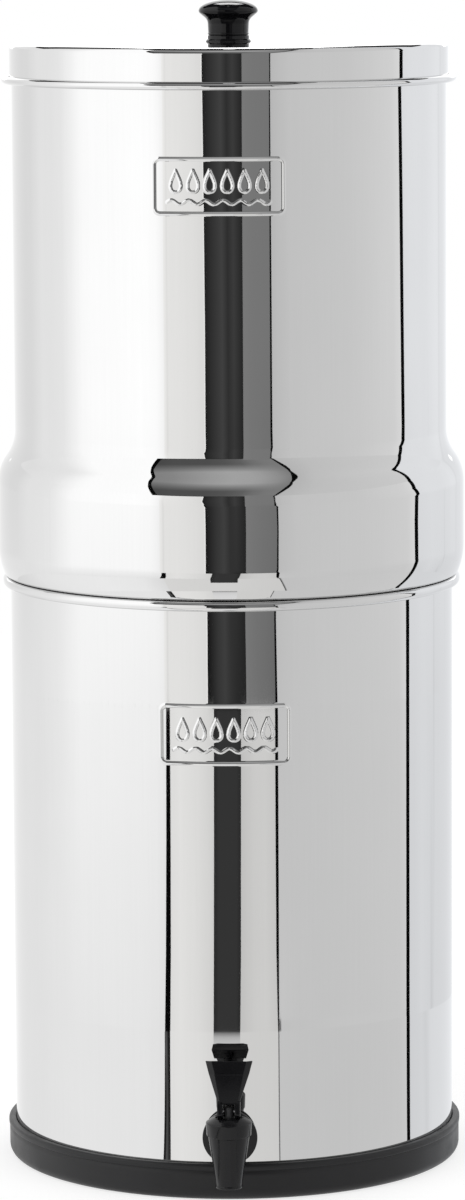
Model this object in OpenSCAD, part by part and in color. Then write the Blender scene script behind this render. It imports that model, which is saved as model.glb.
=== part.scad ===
// Gravity water filter: two stacked steel chambers, a lift-off lid and a lever tap.
// Millimetres, +Z up. The origin is on the chambers' axis, on the surface it stands on.
// The tap points along -Y.

/* [Steel] */
// Thickness of the chambers' steel sheet
sheet_t = 1.0; // [0.8:0.1:1.2]
// Thickness of the lid's steel sheet
lid_t = 0.8; // [0.6:0.1:1.2]
// Height that the name frames stand proud of the sheet
relief = 0.7; // [0.4:0.1:1.5]

/* [Base ring] */
// Height of the ring
ring_h = 23.2; // [16:0.2:30]
// Thickness of the ring's wall
ring_wall = 4.2; // [3:0.1:6]
// Thickness of the flange that the chamber stands on
ring_floor = 3.0; // [2:0.5:5]
// Width of that flange
ring_flange = 17; // [12:1:30]
// Rounding of the ring's lower edge
ring_edge = 6; // [3:0.5:7]
// Height of the bead round the ring's top
ring_lip_h = 4.2; // [3:0.2:6]
// Distance that the bead stands proud
ring_lip_out = 0.5; // [0.2:0.1:1]
// Clearance between the ring and the chamber's wall
ring_gap = 0.2; // [0.1:0.1:0.5]

/* [Lower chamber] */
// Outer radius of the wall
lower_r = 141.5; // [135:0.5:155]
// Height from underside to rim
lower_h = 374.3; // [300:1:420]
// Bend between bottom and wall
lower_bend = 6; // [5:0.5:12]
// Radius of the raised panel in the bottom
panel_r = 104; // [60:1:110]
// Rise of that panel
panel_rise = 3; // [2:0.5:5]
// Width of the rolled rim
rim_w = 5.85; // [5.6:0.05:7]
// Height of the rolled rim
rim_h = 6.2; // [5.4:0.2:9]

/* [Upper chamber] */
// Distance that the wall stands in from the lower chamber's wall
upper_step = 3.7; // [2:0.1:8]
// Height from the ledge to the top edge
upper_h = 337.9; // [300:0.5:400]
// Depth that the chamber's foot reaches into the lower one
plug_depth = 28; // [20:1:40]
// Clearance between that foot and the lower wall
plug_gap = 0.8; // [0.5:0.1:1.5]
// Bend between bottom and foot
plug_bend = 8; // [5:0.5:12]
// Distance that the belly stands out from the lower wall
belly_out = 7.6; // [6:0.1:10]
// Height of the bend under the belly
belly_low = 19.5; // [17:0.5:24]
// Height of the straight band of the belly
belly_h = 40.1; // [20:1:60]
// Height of the shoulder above the belly
shoulder_h = 34; // [26:1:50]
// Height of the folded top edge
hem_h = 5; // [3:0.5:8]

/* [Lid] */
// Clearance between the lid's skirt and the chamber
lid_gap = 0.5; // [0.3:0.1:1]
// Clearance between the lid's underside and the folded edge
lid_seat = 0.3; // [0.2:0.1:0.4]
// Height of the lid from its bead's underside to its top
lid_h = 25.4; // [18:0.2:36]
// Bend round the lid's top
lid_bend = 3.0; // [2:0.2:5]
// Radius of the rolled bead
lid_bead_r = 3.0; // [2.2:0.1:3.6]

/* [Knob] */
// Height of the knob
knob_h = 26.4; // [22:0.2:34]
// Largest radius of the knob
knob_r = 18.8; // [17:0.1:24]
// Radius of the knob's neck
knob_neck_r = 13.0; // [11:0.1:14]
// Radius of the knob's foot
knob_foot_r = 14.6; // [14:0.1:16]
// Height of the domed top
knob_dome_h = 6.8; // [4:0.2:7]
// Radius of the knob screw's thread
knob_screw_r = 2.5; // [2:0.1:3]
// Length of the screw below its head
knob_screw_l = 15; // [12:1:17]

/* [Filters] */
// Clearance between a filter's cap and the upper chamber's foot
filter_margin = 15.9; // [4:0.1:30]
// Radius of a filter element
element_r = 33; // [24:0.5:36]
// Height of a filter element
element_h = 190; // [120:1:220]
// Radius of an element's hollow core
element_core_r = 8; // [5:0.5:12]
// Thickness of an element's top
element_top = 16; // [8:1:30]
// Wall of the cap under an element
cap_wall = 1.6; // [1.2:0.1:3]
// Height of that cap
cap_h = 14; // [10:0.5:20]
// Thickness of the cap's floor
cap_floor = 4; // [3:0.5:6]
// Radius of a filter's threaded stem
stem_r = 5; // [4:0.1:6]
// Length of that stem
stem_l = 28; // [22:0.5:30]
// Radius of the water way through the stem
stem_bore_r = 1.9; // [1:0.1:2.4]
// Thickness of the sealing washer under the cap
gasket_t = 2.5; // [1.5:0.1:4]
// Radius of that washer
gasket_r = 13; // [9:0.5:18]
// Height of a wing nut
nut_h = 9; // [7:0.5:11]
// Radius of a wing nut's hub
nut_hub_r = 8.5; // [7.5:0.1:11]
// Span of a wing nut's wings
nut_span = 38; // [28:1:46]

/* [Tap] */
// Clearance between the base ring and the tap's flange
tap_gap = 0.25; // [0.2:0.05:20]
// Distance from the wall to the spout's axis
tap_reach = 38; // [34:0.5:50]
// Length of the spout below the shank's axis
spout_drop = 23.2; // [16:0.2:30]
// Radius of the spout's mouth, outside
spout_r = 8.1; // [7:0.1:9]
// Radius of the water way
way_r = 4.5; // [3.5:0.1:5]
// Depth of the sealing seat below the shank's axis
seat_drop = 10.6; // [9:0.2:13]
// Radius of the body under its cap
body_r = 12.9; // [12:0.1:13.6]
// Height of the body above the shank, up to its cap
body_up = 9.6; // [8:0.1:14]
// Radius of the flange against the wall
flange_r = 17.15; // [13:0.05:17.3]
// Thickness of the flange
flange_t = 3.5; // [2.5:0.1:5]
// Radius of the shank's thread
shank_r = 8; // [7:0.1:9]
// Length of thread inside the chamber
shank_in = 18.5; // [16:0.5:30]
// Thickness of the washer outside the wall
washer_out_t = 2.5; // [1.5:0.1:4]
// Thickness of the washer inside the wall
washer_in_t = 4; // [2.5:0.1:5]
// Distance across the flats of the nut on the shank
tap_nut_af = 26; // [22:0.5:30]
// Thickness of that nut
tap_nut_t = 8; // [6:0.5:10]
// Height of the cap's side
bonnet_h = 8.6; // [7:0.1:12]
// Radius of the cap's upper edge
bonnet_r = 14.2; // [13.5:0.1:15]
// Rise of the cap's top above that edge
bonnet_rise = 2.7; // [1:0.1:5]
// Radius of the plunger's rod
rod_r = 3.1; // [2.6:0.1:3.4]
// Radius of the sealing cup
cup_r = 7.4; // [6.5:0.1:8]
// Wire radius of the spring
wire_r = 0.6; // [0.4:0.1:0.8]
// Number of turns of the spring
turns = 5; // [4:1:6]

/* [Lever] */
// Width of the lever's head
head_w = 29.2; // [22:0.2:34]
// Depth of the head's top, front to back
head_d = 9.5; // [7:0.5:12]
// Height of the head's upright sides
head_h = 5.7; // [4:0.1:8]
// Distance from the pin back to the head's back
lean = 21.5; // [16:0.5:25]
// Height of the head's front edge above the pin
lever_rise = 28.6; // [24:0.2:40]
// Width over the lever's two cheeks
fork_w = 14.3; // [13:0.1:18]
// Width of the slot between the cheeks
fork_slot = 7.2; // [7:0.1:8]
// Width of the rib behind the lever
rib_w = 10.5; // [9:0.1:14]
// Width of the flank on either side of the lever's face, at its head
flank_w = 4.6; // [2:0.1:6]
// Radius of the pin
pin_r = 1.2; // [0.8:0.1:1.4]
// Offset of the lever's cam in front of the pin
cam_out = 4.2; // [3:0.1:4.4]
// Radius of the cam
cam_r = 3.4; // [3:0.1:4]

/* [Name frames] */
// Width of both frames
frame_w = 83; // [50:1:110]
// Height of the upper frame
frame_upper_h = 36; // [24:1:60]
// Height of the lower frame
frame_lower_h = 38.6; // [24:1:60]
// Width of a frame's raised line
frame_line = 2.6; // [1.5:0.1:4]
// Height of the upper frame's middle above the ledge
frame_upper_z = 254.8; // [180:1:280]
// Turn of the upper frame away from the tap
frame_upper_turn = -1.6; // [-10:0.1:10]
// Height of the lower frame's middle above the ground
frame_lower_z = 293.9; // [200:1:310]
// Turn of the lower frame away from the tap
frame_lower_turn = -0.7; // [-10:0.1:10]

/* [Hidden] */
$fn = 96;

steel = "silver";
black = [0.06, 0.06, 0.07];
white = [0.92, 0.92, 0.9];
charcoal = [0.16, 0.16, 0.16];

filters = 4;
thread_gap = 0.1;          // a nut or washer over its thread
shaft_gap = 0.05;          // a rod or pin that moves in its hole
seat_gap = 0.05;           // a washer against the curved wall
past = 1;                  // how far a cut, or its own outline, runs past a face
arc_step = 12;             // degrees between two points of a bend
arc_points = 6;            // fewest steps in a bend
wall_steps = 360;          // facets of the curved cut in a washer

// Base ring and lower chamber
lower_z = ring_floor;
lower_top = lower_z + lower_h;
ring_in_r = lower_r + ring_gap;
ring_r = ring_in_r + ring_wall;
curl_in = 0.6;             // first and tighter bend of the rolled rim, inside
curl_out = 1.6;            // its two outer bends, inside
curl_slit = 0.6;           // between the rolled edge and the wall

// Upper chamber
ledge_z = lower_top;
plug_r = lower_r - sheet_t - plug_gap;
plug_z = ledge_z - plug_depth;
floor_z = plug_z + sheet_t;
belly_r = lower_r + belly_out;
upper_r = lower_r - upper_step;
belly_z = ledge_z + belly_low;
shoulder_z = belly_z + belly_h;
upper_top = ledge_z + upper_h;
ledge_bend = 1.2;          // bends on either side of the ledge
ledge_out = 1.63;          // from the lower wall's face to the ledge's outer bend
// The bend under the belly runs from the ledge's outer bend to the belly's face
low_in = belly_out - ledge_out;
low_r = ((low_in * low_in + belly_low * belly_low) - 2 * ledge_bend * belly_low)
    / (2 * (low_in - ledge_bend));
low_a = -asin((belly_low - ledge_bend) / (low_r - ledge_bend));
// The shoulder is two equal arcs that meet half way
shoulder_in = belly_r - upper_r;
shoulder_r = (shoulder_in * shoulder_in + shoulder_h * shoulder_h) / (4 * shoulder_in);
shoulder_a = atan2(shoulder_h, 2 * shoulder_r - shoulder_in);
hem_bend = sheet_t + 0.2;
hem_w = 2 * hem_bend;

// Lid and knob
lid_top = upper_top + lid_seat + lid_t;
lid_r = upper_r + lid_gap + lid_t;
bead_z = lid_top - lid_h + lid_bead_r;
bead_in = lid_bead_r - lid_t;
bead_end = 125;            // angle at which the rolled bead stops, short of the skirt
knob_edge = 2.5;           // rounding of the knob's widest edge
knob_slope = 50;           // steepness of the knob's underside
knob_cove = 5.5;           // hollow between the underside and the neck
knob_groove = 0.5;
knob_base_h = 4;
insert_r = 4.2;
insert_l = 11;
knob_washer_r = 9;
knob_washer_t = 1;
screw_head_r = 4.6;
screw_head_h = 2.8;
recess_r = 2.6;            // cross recess in the screw's head
recess_w = 1;
recess_depth = 1.4;

// Filters
holes = 2 * filters;
hole_r = stem_r + 0.5;
cap_z = floor_z + gasket_t;
element_z = cap_z + cap_floor;
element_round = 5;
cap_gap = 0.2;
cap_r = element_r + cap_gap + cap_wall;
hole_circle_r = plug_r - sheet_t - filter_margin - cap_r;
nut_wing_t = 3.2;
plug_head_r = 11;
plug_head_t = 3;
plug_head_fall = 1.5;      // from the head's edge in to its flat face
plug_foot_r = 7.5;
plug_foot_h = 3;

// Tap
tap_z = ring_h + tap_gap + flange_r;
spout_z = tap_z - spout_drop;
spout_y = -(lower_r + tap_reach);
flange_y = -(lower_r + washer_out_t);
body_top = tap_z + body_up;
neck_r = body_r - 2.1;     // threaded neck inside the cap
neck_h = bonnet_h - 2.3;
seat_z = tap_z - seat_drop;
well_r = cup_r + 1.6;
bonnet_z = body_top;
bonnet_edge = bonnet_z + bonnet_h;
bonnet_top = bonnet_edge + bonnet_rise;
bonnet_flat_r = 9;
shank_end = -(lower_r - sheet_t - shank_in);
shank_hole_r = shank_r + 0.4;
cup_h = 9;
cup_wall = 2;
foot_out = 1.4;            // the plunger's foot, which the cup is snapped over
foot_h = 2.4;
rod_tip_h = 1;             // taper at the rod's top
rod_tip_in = 0.8;
spring_z = seat_z + cup_h;
spring_top = bonnet_z + neck_h;
spring_r = rod_r + wire_r + 1.6;

// Name frames
frame_round = 4;           // corners of the raised line, outside and inside
frame_round_in = 2;

// Lever. Its outlines are measured from the pin.
cam_gap = 0.3;             // between the cam and the cap's top
pin_z = bonnet_top + cam_gap + cam_r;
rod_top = pin_z + 3.5;
slot_up = 5.3;             // from the pin to the top of the slot
plate_t = 3.2;
head_back = -lean;
head_front = head_d - lean;
head_tilt = 2.3;           // fall of the head's top towards the back
head_under = lever_rise - head_tilt - head_h;
chin_out = 1.6;            // the face leans forward by this much over the head's height
face_low = 7.2;            // lower end of the lever's sloping face
flank_low = 1;             // width of the flank at the face's lower end
flank_back = 2.9;          // how far the flank turns back over its width at the head

// Points along an arc in the half section, each with the direction that leaves the sheet there
function bend(cr, cz, rad, from, to, side = 1) =
    let (n = max(arc_points, ceil(abs(to - from) / arc_step)))
        [for (i = [0:n]) let (a = from + (to - from) * i / n)
            [cr + rad * cos(a), cz + rad * sin(a), side > 0 ? a : a + 180]];

// The same points moved into the sheet
function inset(path, t) = [for (p = path) [p[0] - t * cos(p[2]), p[1] - t * sin(p[2])]];

function reversed(list) = [for (i = [len(list) - 1:-1:0]) list[i]];

// A sheet of one thickness, spun round the axis
module spun_sheet(path, t) {
    rotate_extrude() polygon(concat(inset(path, 0), reversed(inset(path, t))));
}

// A cylinder along Y from y1 to y2, at the tap's height
module along_y(r, y1, y2) {
    translate([0, y2, tap_z]) rotate([90, 0, 0]) cylinder(r = r, h = y2 - y1);
}

module at_hole(i) {
    a = 360 * i / holes;
    translate([hole_circle_r * cos(a), hole_circle_r * sin(a), 0]) rotate(a) children();
}

// Filters stand in the odd holes, so that they are as far apart as they can be
module at_filter(i) { at_hole(2 * i - 1) children(); }

module rounded_rect(w, h, r) {
    square([w - 2 * r, h], center = true);
    square([w, h - 2 * r], center = true);
    for (x = [-1, 1], z = [-1, 1])
        translate([x * (w / 2 - r), z * (h / 2 - r)]) circle(r = r, $fn = 32);
}

// A raised frame on the front of a wall of radius r
module name_frame(r, z, w, h) {
    bow = r - sqrt(r * r - w * w / 4) + past;
    intersection() {
        translate([0, 0, z - h]) difference() {
            cylinder(r = r + relief, h = 2 * h);
            translate([0, 0, -past]) cylinder(r = r - sheet_t / 2, h = 2 * (h + past));
        }
        translate([0, 0, z]) rotate([90, 0, 0]) translate([0, 0, r - bow])
            linear_extrude(bow + relief + past) difference() {
                rounded_rect(w, h, frame_round);
                rounded_rect(w - 2 * frame_line, h - 2 * frame_line, frame_round_in);
            }
    }
}

module base_ring() {
    lip_z = ring_h - ring_lip_h;
    lip_r = ring_r + ring_lip_out;
    corner = lower_bend - 1;
    color(black) rotate_extrude() polygon(concat(
        [[ring_in_r - ring_flange, 0]],
        inset(bend(ring_r - ring_edge, ring_edge, ring_edge, -90, 0), 0),
        [[ring_r, lip_z - 0.9], [ring_r - 0.5, lip_z - 0.6], [ring_r - 0.5, lip_z]],
        inset(bend(lip_r - 1.2, lip_z + 1.2, 1.2, -90, 0), 0),
        inset(bend(lip_r - 1.8, ring_h - 1.8, 1.8, 0, 90), 0),
        [[ring_in_r, ring_h]],
        inset(bend(ring_in_r - corner, ring_floor + corner, corner, 0, -90), 0),
        [[ring_in_r - ring_flange, ring_floor]]));
}

module lower_chamber() {
    outer_bend_r = lower_r + rim_w - 2 * sheet_t - curl_out;
    path = concat(
        [[0, lower_z + panel_rise, -90]],
        bend(panel_r - 2, lower_z + panel_rise - 1.2, 1.2, 90, 30, -1),
        bend(panel_r + 1.5, lower_z + 1.2, 1.2, 210, 270, 1),
        bend(lower_r - lower_bend, lower_z + lower_bend, lower_bend, -90, 0),
        bend(lower_r + curl_in, lower_top - sheet_t - curl_in, curl_in, 180, 90, -1),
        bend(outer_bend_r, lower_top - sheet_t - curl_out, curl_out, 90, 0, -1),
        bend(outer_bend_r, lower_top - rim_h + sheet_t + curl_out, curl_out, 0, -90, -1),
        [[lower_r + curl_slit, lower_top - rim_h + sheet_t, 90]]);
    color(steel) difference() {
        union() {
            spun_sheet(path, sheet_t);
            rotate(frame_lower_turn)
                name_frame(lower_r, frame_lower_z, frame_w, frame_lower_h);
        }
        along_y(shank_hole_r, -lower_r - 5, -lower_r + 20);
    }
}

module upper_chamber() {
    path = concat(
        [[0, plug_z, -90]],
        bend(plug_r - plug_bend, plug_z + plug_bend, plug_bend, -90, 0),
        bend(plug_r + ledge_bend, ledge_z - ledge_bend, ledge_bend, 180, 90, -1),
        bend(lower_r + ledge_out, ledge_z + ledge_bend, ledge_bend, -90, low_a),
        bend(belly_r - low_r, belly_z, low_r, low_a, 0),
        bend(belly_r - shoulder_r, shoulder_z, shoulder_r, 0, shoulder_a),
        bend(upper_r + shoulder_r, shoulder_z + shoulder_h, shoulder_r,
            180 + shoulder_a, 180, -1),
        bend(upper_r - hem_bend, upper_top - hem_bend, hem_bend, 0, 180),
        [[upper_r - hem_w, upper_top - hem_h, 180]]);
    color(steel) difference() {
        union() {
            spun_sheet(path, sheet_t);
            rotate(frame_upper_turn)
                name_frame(upper_r, ledge_z + frame_upper_z, frame_w, frame_upper_h);
        }
        for (i = [0:holes - 1])
            at_hole(i) translate([0, 0, plug_z - past])
                cylinder(r = hole_r, h = sheet_t + 2 * past);
    }
}

module lid_shell() {
    path = concat(
        [[0, lid_top, 90]],
        bend(lid_r - lid_bend, lid_top - lid_bend, lid_bend, 90, 0),
        bend(lid_r + bead_in, bead_z, bead_in, 180, 360 + bead_end, -1));
    color(steel) difference() {
        spun_sheet(path, lid_t);
        translate([0, 0, lid_top - lid_t - past])
            cylinder(r = knob_screw_r + thread_gap, h = lid_t + 2 * past);
    }
}

module lid_knob() {
    edge_z = knob_h - knob_dome_h;
    fall = (knob_r - knob_edge * (1 - cos(knob_slope)))
        - (knob_neck_r + knob_cove * (1 - cos(knob_slope)));
    cove_z = edge_z - knob_edge * sin(knob_slope) - fall * tan(90 - knob_slope)
        - knob_cove * sin(knob_slope);
    color(black) translate([0, 0, lid_top]) difference() {
        rotate_extrude() polygon(concat(
            [for (a = [90:-10:10]) [knob_r * cos(a), edge_z + knob_dome_h * sin(a)]],
            inset(bend(knob_r - knob_edge, edge_z, knob_edge, 0, -knob_slope), 0),
            inset(bend(knob_neck_r + knob_cove, cove_z, knob_cove, 180 - knob_slope, 180), 0),
            [[knob_neck_r, knob_base_h + 0.6], [knob_neck_r - knob_groove, knob_base_h + 0.3],
             [knob_neck_r - knob_groove, knob_base_h], [knob_neck_r + 0.2, knob_base_h - 0.3]],
            [[knob_neck_r + 0.2, 1.6], [knob_foot_r - 0.6, 0.5], [knob_foot_r, 0]],
            [[0, 0]]));
        translate([0, 0, -past]) cylinder(r = insert_r, h = insert_l + past);
        translate([0, 0, -past])
            cylinder(r = knob_screw_r + thread_gap, h = knob_screw_l + past);
    }
}

module knob_insert() {
    color("goldenrod") translate([0, 0, lid_top]) difference() {
        cylinder(r = insert_r, h = insert_l);
        translate([0, 0, -past])
            cylinder(r = knob_screw_r + thread_gap, h = insert_l + 2 * past);
    }
}

module knob_washer() {
    color(steel) translate([0, 0, lid_top - lid_t - knob_washer_t]) difference() {
        cylinder(r = knob_washer_r, h = knob_washer_t);
        translate([0, 0, -past])
            cylinder(r = knob_screw_r + thread_gap, h = knob_washer_t + 2 * past);
    }
}

module knob_screw() {
    head_z = lid_top - lid_t - knob_washer_t;
    color(steel) translate([0, 0, head_z]) difference() {
        union() {
            translate([0, 0, -screw_head_h]) cylinder(r = screw_head_r, h = screw_head_h);
            cylinder(r = knob_screw_r, h = knob_screw_l);
        }
        for (a = [0, 90]) rotate(a)
            translate([-recess_r, -recess_w / 2, -screw_head_h - past])
                cube([2 * recess_r, recess_w, recess_depth + past]);
    }
}

module filter_element(i) {
    top = element_z + element_h;
    color(charcoal) at_filter(i) rotate_extrude() polygon(concat(
        [[element_core_r, element_z], [element_r, element_z]],
        inset(bend(element_r - element_round, top - element_round, element_round, 0, 90), 0),
        [[0, top], [0, top - element_top], [element_core_r, top - element_top - 3]]));
}

module filter_base(i) {
    color(black) at_filter(i) difference() {
        union() {
            translate([0, 0, cap_z]) cylinder(r = cap_r, h = cap_h);
            translate([0, 0, cap_z - stem_l]) cylinder(r = stem_r, h = stem_l + 1);
        }
        translate([0, 0, element_z]) cylinder(r = element_r + cap_gap, h = cap_h);
        translate([0, 0, cap_z - stem_l - past])
            cylinder(r = stem_bore_r, h = stem_l + cap_floor + 2 * past);
    }
}

module filter_gasket(i) {
    color([0.2, 0.35, 0.6]) at_filter(i) translate([0, 0, floor_z]) difference() {
        cylinder(r = gasket_r, h = gasket_t);
        translate([0, 0, -past]) cylinder(r = stem_r + thread_gap, h = gasket_t + 2 * past);
    }
}

module wing_nut() {
    wing_r = nut_h / 2 + 1;
    translate([0, 0, plug_z - nut_h]) difference() {
        union() {
            cylinder(r = nut_hub_r, h = nut_h);
            for (s = [-1, 1]) intersection() {
                translate([s * (nut_span / 2 - wing_r), nut_wing_t / 2, wing_r - 2])
                    rotate([90, 0, 0]) cylinder(r = wing_r, h = nut_wing_t);
                translate([-nut_span, -nut_span, 0]) cube([2 * nut_span, 2 * nut_span, nut_h]);
            }
            translate([wing_r - nut_span / 2, -nut_wing_t / 2, 0])
                cube([nut_span - 2 * wing_r, nut_wing_t, nut_h - 2]);
        }
        translate([0, 0, -past]) cylinder(r = stem_r + thread_gap, h = nut_h + 2 * past);
    }
}

module wing_nuts() {
    color(white) for (i = [1:filters]) at_filter(i) rotate(25 * i) wing_nut();
}

module hole_plugs() {
    shaft_r = hole_r - thread_gap;
    color([0.5, 0.5, 0.52]) for (i = [0:filters - 1]) at_hole(2 * i) {
        translate([0, 0, floor_z])
            cylinder(r1 = plug_head_r, r2 = plug_head_r - plug_head_fall, h = plug_head_t);
        translate([0, 0, plug_z - past]) cylinder(r = shaft_r, h = sheet_t + 2 * past);
        translate([0, 0, plug_z - plug_foot_h])
            cylinder(r1 = shaft_r, r2 = plug_foot_r, h = plug_foot_h);
    }
}

module tap_body() {
    lip = 1.2;
    color(black) difference() {
        union() {
            translate([0, spout_y, 0]) rotate_extrude() polygon([
                [0, spout_z], [spout_r + 0.3, spout_z], [spout_r + 0.3, spout_z + lip],
                [spout_r, spout_z + lip + 0.4], [body_r, body_top], [neck_r, body_top],
                [neck_r, body_top + neck_h], [0, body_top + neck_h]]);
            along_y(shank_r + 1.5, spout_y, flange_y);
            along_y(flange_r, flange_y - flange_t, flange_y);
            along_y(shank_r, spout_y, shank_end);
        }
        translate([0, spout_y, spout_z - past])
            cylinder(r = way_r, h = seat_z - spout_z + 2 * past);
        translate([0, spout_y, seat_z]) cylinder(r = well_r, h = body_top + neck_h);
        along_y(way_r, spout_y, shank_end + past);
    }
}

// A washer on the shank, flat on one side and hollowed to the wall on the other
module tap_washer(r, y1, y2) {
    difference() {
        along_y(r, y1, y2);
        along_y(shank_r + thread_gap, y1 - past, y2 + past);
        children();
    }
}

module tap_washer_outer() {
    color([0.12, 0.12, 0.13]) tap_washer(flange_r - 0.8, flange_y, -lower_r + 3)
        cylinder(r = lower_r + seat_gap, h = 2 * tap_z, $fn = wall_steps);
}

module tap_washer_inner() {
    inner = lower_r - sheet_t;
    color([0.12, 0.12, 0.13])
        tap_washer(shank_r + 6.5, -inner - 1, -inner + washer_in_t) difference() {
            cylinder(r = 2 * lower_r, h = 2 * tap_z);
            translate([0, 0, -past])
                cylinder(r = inner - seat_gap, h = 2 * (tap_z + past), $fn = wall_steps);
        }
}

module tap_nut() {
    y = -(lower_r - sheet_t - washer_in_t);
    color(black) difference() {
        translate([0, y + tap_nut_t, tap_z]) rotate([90, 0, 0])
            cylinder(r = tap_nut_af / 2 / cos(30), h = tap_nut_t, $fn = 6);
        along_y(shank_r + thread_gap, y - past, y + tap_nut_t + past);
    }
}

module tap_bonnet() {
    color(black) translate([0, spout_y, bonnet_z]) difference() {
        rotate_extrude() polygon([
            [0, 0], [body_r + 0.3, 0], [bonnet_r, bonnet_h - 0.8], [bonnet_r - 0.5, bonnet_h],
            [bonnet_flat_r, bonnet_top - bonnet_z], [0, bonnet_top - bonnet_z]]);
        translate([0, 0, -past]) cylinder(r = neck_r + thread_gap, h = neck_h + past);
        cylinder(r = rod_r + shaft_gap, h = 3 * bonnet_h);
    }
}

module tap_stem() {
    foot_z = seat_z + cup_wall;
    color([0.1, 0.1, 0.11]) translate([0, spout_y, 0]) difference() {
        union() {
            translate([0, 0, foot_z]) cylinder(r = rod_r, h = rod_top - rod_tip_h - foot_z);
            translate([0, 0, rod_top - rod_tip_h])
                cylinder(r1 = rod_r, r2 = rod_r - rod_tip_in, h = rod_tip_h);
            translate([0, 0, foot_z]) cylinder(r = rod_r + foot_out, h = foot_h);
        }
        translate([-2 * rod_r, 0, pin_z]) rotate([0, 90, 0])
            cylinder(r = pin_r + shaft_gap, h = 4 * rod_r);
    }
}

// A soft cup: closed below where it meets the seat, and snapped over the plunger's foot
module tap_seat_cup() {
    color([0.75, 0.75, 0.73]) translate([0, spout_y, seat_z]) difference() {
        rotate_extrude() polygon([
            [0, 0], [cup_r - 0.6, 0], [cup_r, 0.8], [cup_r, 3], [cup_r - 1.2, 5],
            [cup_r - 1.2, cup_h], [0, cup_h]]);
        translate([0, 0, cup_wall])
            cylinder(r = rod_r + foot_out + thread_gap, h = foot_h + 2 * thread_gap);
        translate([0, 0, cup_wall]) cylinder(r = rod_r + thread_gap, h = cup_h);
    }
}

// Round wire along a helix, closed flat at both ends
module tap_spring() {
    sides = 8;
    steps = 18 * turns;
    rise = spring_top - spring_z - 2 * wire_r - 0.4;
    function along(i) = 360 * turns * i / steps;
    points = [for (i = [0:steps], s = [0:sides - 1])
        let (a = along(i), b = 360 * s / sides, r = spring_r + wire_r * cos(b))
            [r * cos(a), r * sin(a), wire_r + 0.2 + rise * i / steps + wire_r * sin(b)]];
    faces = concat(
        [[for (s = [0:sides - 1]) s]],
        [[for (s = [sides - 1:-1:0]) steps * sides + s]],
        [for (i = [0:steps - 1], s = [0:sides - 1]) let (t = (s + 1) % sides)
            [i * sides + s, (i + 1) * sides + s, (i + 1) * sides + t, i * sides + t]]);
    color("silver") translate([0, spout_y, spring_z]) polyhedron(points, faces);
}

// Turns an outline drawn as (distance in front of the pin, height above it) across the lever
module across(w) {
    rotate([90, 0, -90]) translate([0, 0, -w / 2]) linear_extrude(w) children();
}

// The lever seen from the side
module lever_side() {
    neck = cam_out + 1.2;
    polygon([
        [head_back, lever_rise - head_tilt], [head_front, lever_rise],
        [head_front + chin_out, head_under], [cam_out, face_low],
        [neck, slot_up - 1.5], [neck, 0], [-cam_r, 0], [-cam_r - 1.8, slot_up],
        [head_front + chin_out - plate_t, head_under], [head_back + 0.9, head_under]]);
}

// The lever seen from the front
module lever_front() {
    side = [[head_w / 2, lever_rise], [head_w / 2, head_under],
        [fork_w / 2, face_low], [fork_w / 2, -cam_r]];
    polygon(concat(side, reversed([for (p = side) [-p[0], p[1]]])));
}

// What lies in front of the plane through two points of the face's edge and one beside them
module in_front(low, high, beside) {
    up = high - low;
    tilt = -asin(up[1] / norm(up));
    slant = atan2(up[0], up[2]);
    across_face = (beside - low) * [cos(slant), 0, -sin(slant)];
    into_face = (beside - low) * [sin(slant) * sin(tilt), cos(tilt), cos(slant) * sin(tilt)];
    translate(low) rotate([tilt, slant, 0]) rotate([0, 0, atan2(into_face, across_face)])
        translate([-2 * lean, -lean, -2 * lean]) cube([4 * lean, lean, 4 * lean]);
}

// The cut that leaves a flank beside the lever's face, on the side of +X
module flank_cut() {
    edge_x = head_w / 2 - flank_w;
    chin = [edge_x, -head_front - chin_out, head_under];
    side = [head_w / 2, -head_front - chin_out + flank_back, head_under];
    intersection() {
        in_front(chin, [edge_x, -head_front, lever_rise], side);
        in_front([fork_w / 2 - flank_low, -cam_out, face_low], chin, side);
    }
}

module tap_handle() {
    color(black) translate([0, spout_y, pin_z]) difference() {
        union() {
            intersection() {
                across(2 * head_w) lever_side();
                rotate([90, 0, 0]) translate([0, 0, -2 * lean])
                    linear_extrude(4 * lean) lever_front();
            }
            across(rib_w) polygon([
                [head_back + 1.5, head_under + 1], [head_front, head_under + 1],
                [-cam_r, slot_up], [-cam_r - 4.5, slot_up + 2], [head_back + 3, head_under - 5]]);
            for (out = [0, cam_out]) translate([-fork_w / 2, -out, 0])
                rotate([0, 90, 0]) cylinder(r = cam_r, h = fork_w);
            translate([-fork_w / 2, -cam_out, -cam_r]) cube([fork_w, cam_out, cam_r]);
        }
        for (s = [0, 1])
            mirror([s, 0, 0]) flank_cut();
        translate([-fork_slot / 2, -lean, -2 * cam_r])
            cube([fork_slot, 2 * lean, 2 * cam_r + slot_up]);
        translate([-fork_w, 0, 0]) rotate([0, 90, 0])
            cylinder(r = pin_r + shaft_gap / 2, h = 2 * fork_w);
    }
}

module tap_handle_pin() {
    color("silver") translate([-fork_w / 2, spout_y, pin_z]) rotate([0, 90, 0])
        cylinder(r = pin_r, h = fork_w);
}

base_ring();
lower_chamber();
tap_body();
tap_washer_outer();
tap_washer_inner();
tap_nut();
tap_bonnet();
tap_stem();
tap_seat_cup();
tap_spring();
tap_handle();
tap_handle_pin();
upper_chamber();
filter_element(1);  // filter_element_1
filter_element(2);  // filter_element_2
filter_element(3);  // filter_element_3
filter_element(4);  // filter_element_4
filter_base(1);  // filter_base_1
filter_base(2);  // filter_base_2
filter_base(3);  // filter_base_3
filter_base(4);  // filter_base_4
filter_gasket(1);  // filter_gasket_1
filter_gasket(2);  // filter_gasket_2
filter_gasket(3);  // filter_gasket_3
filter_gasket(4);  // filter_gasket_4
wing_nuts();
hole_plugs();
lid_shell();
lid_knob();
knob_insert();
knob_washer();
knob_screw();
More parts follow.
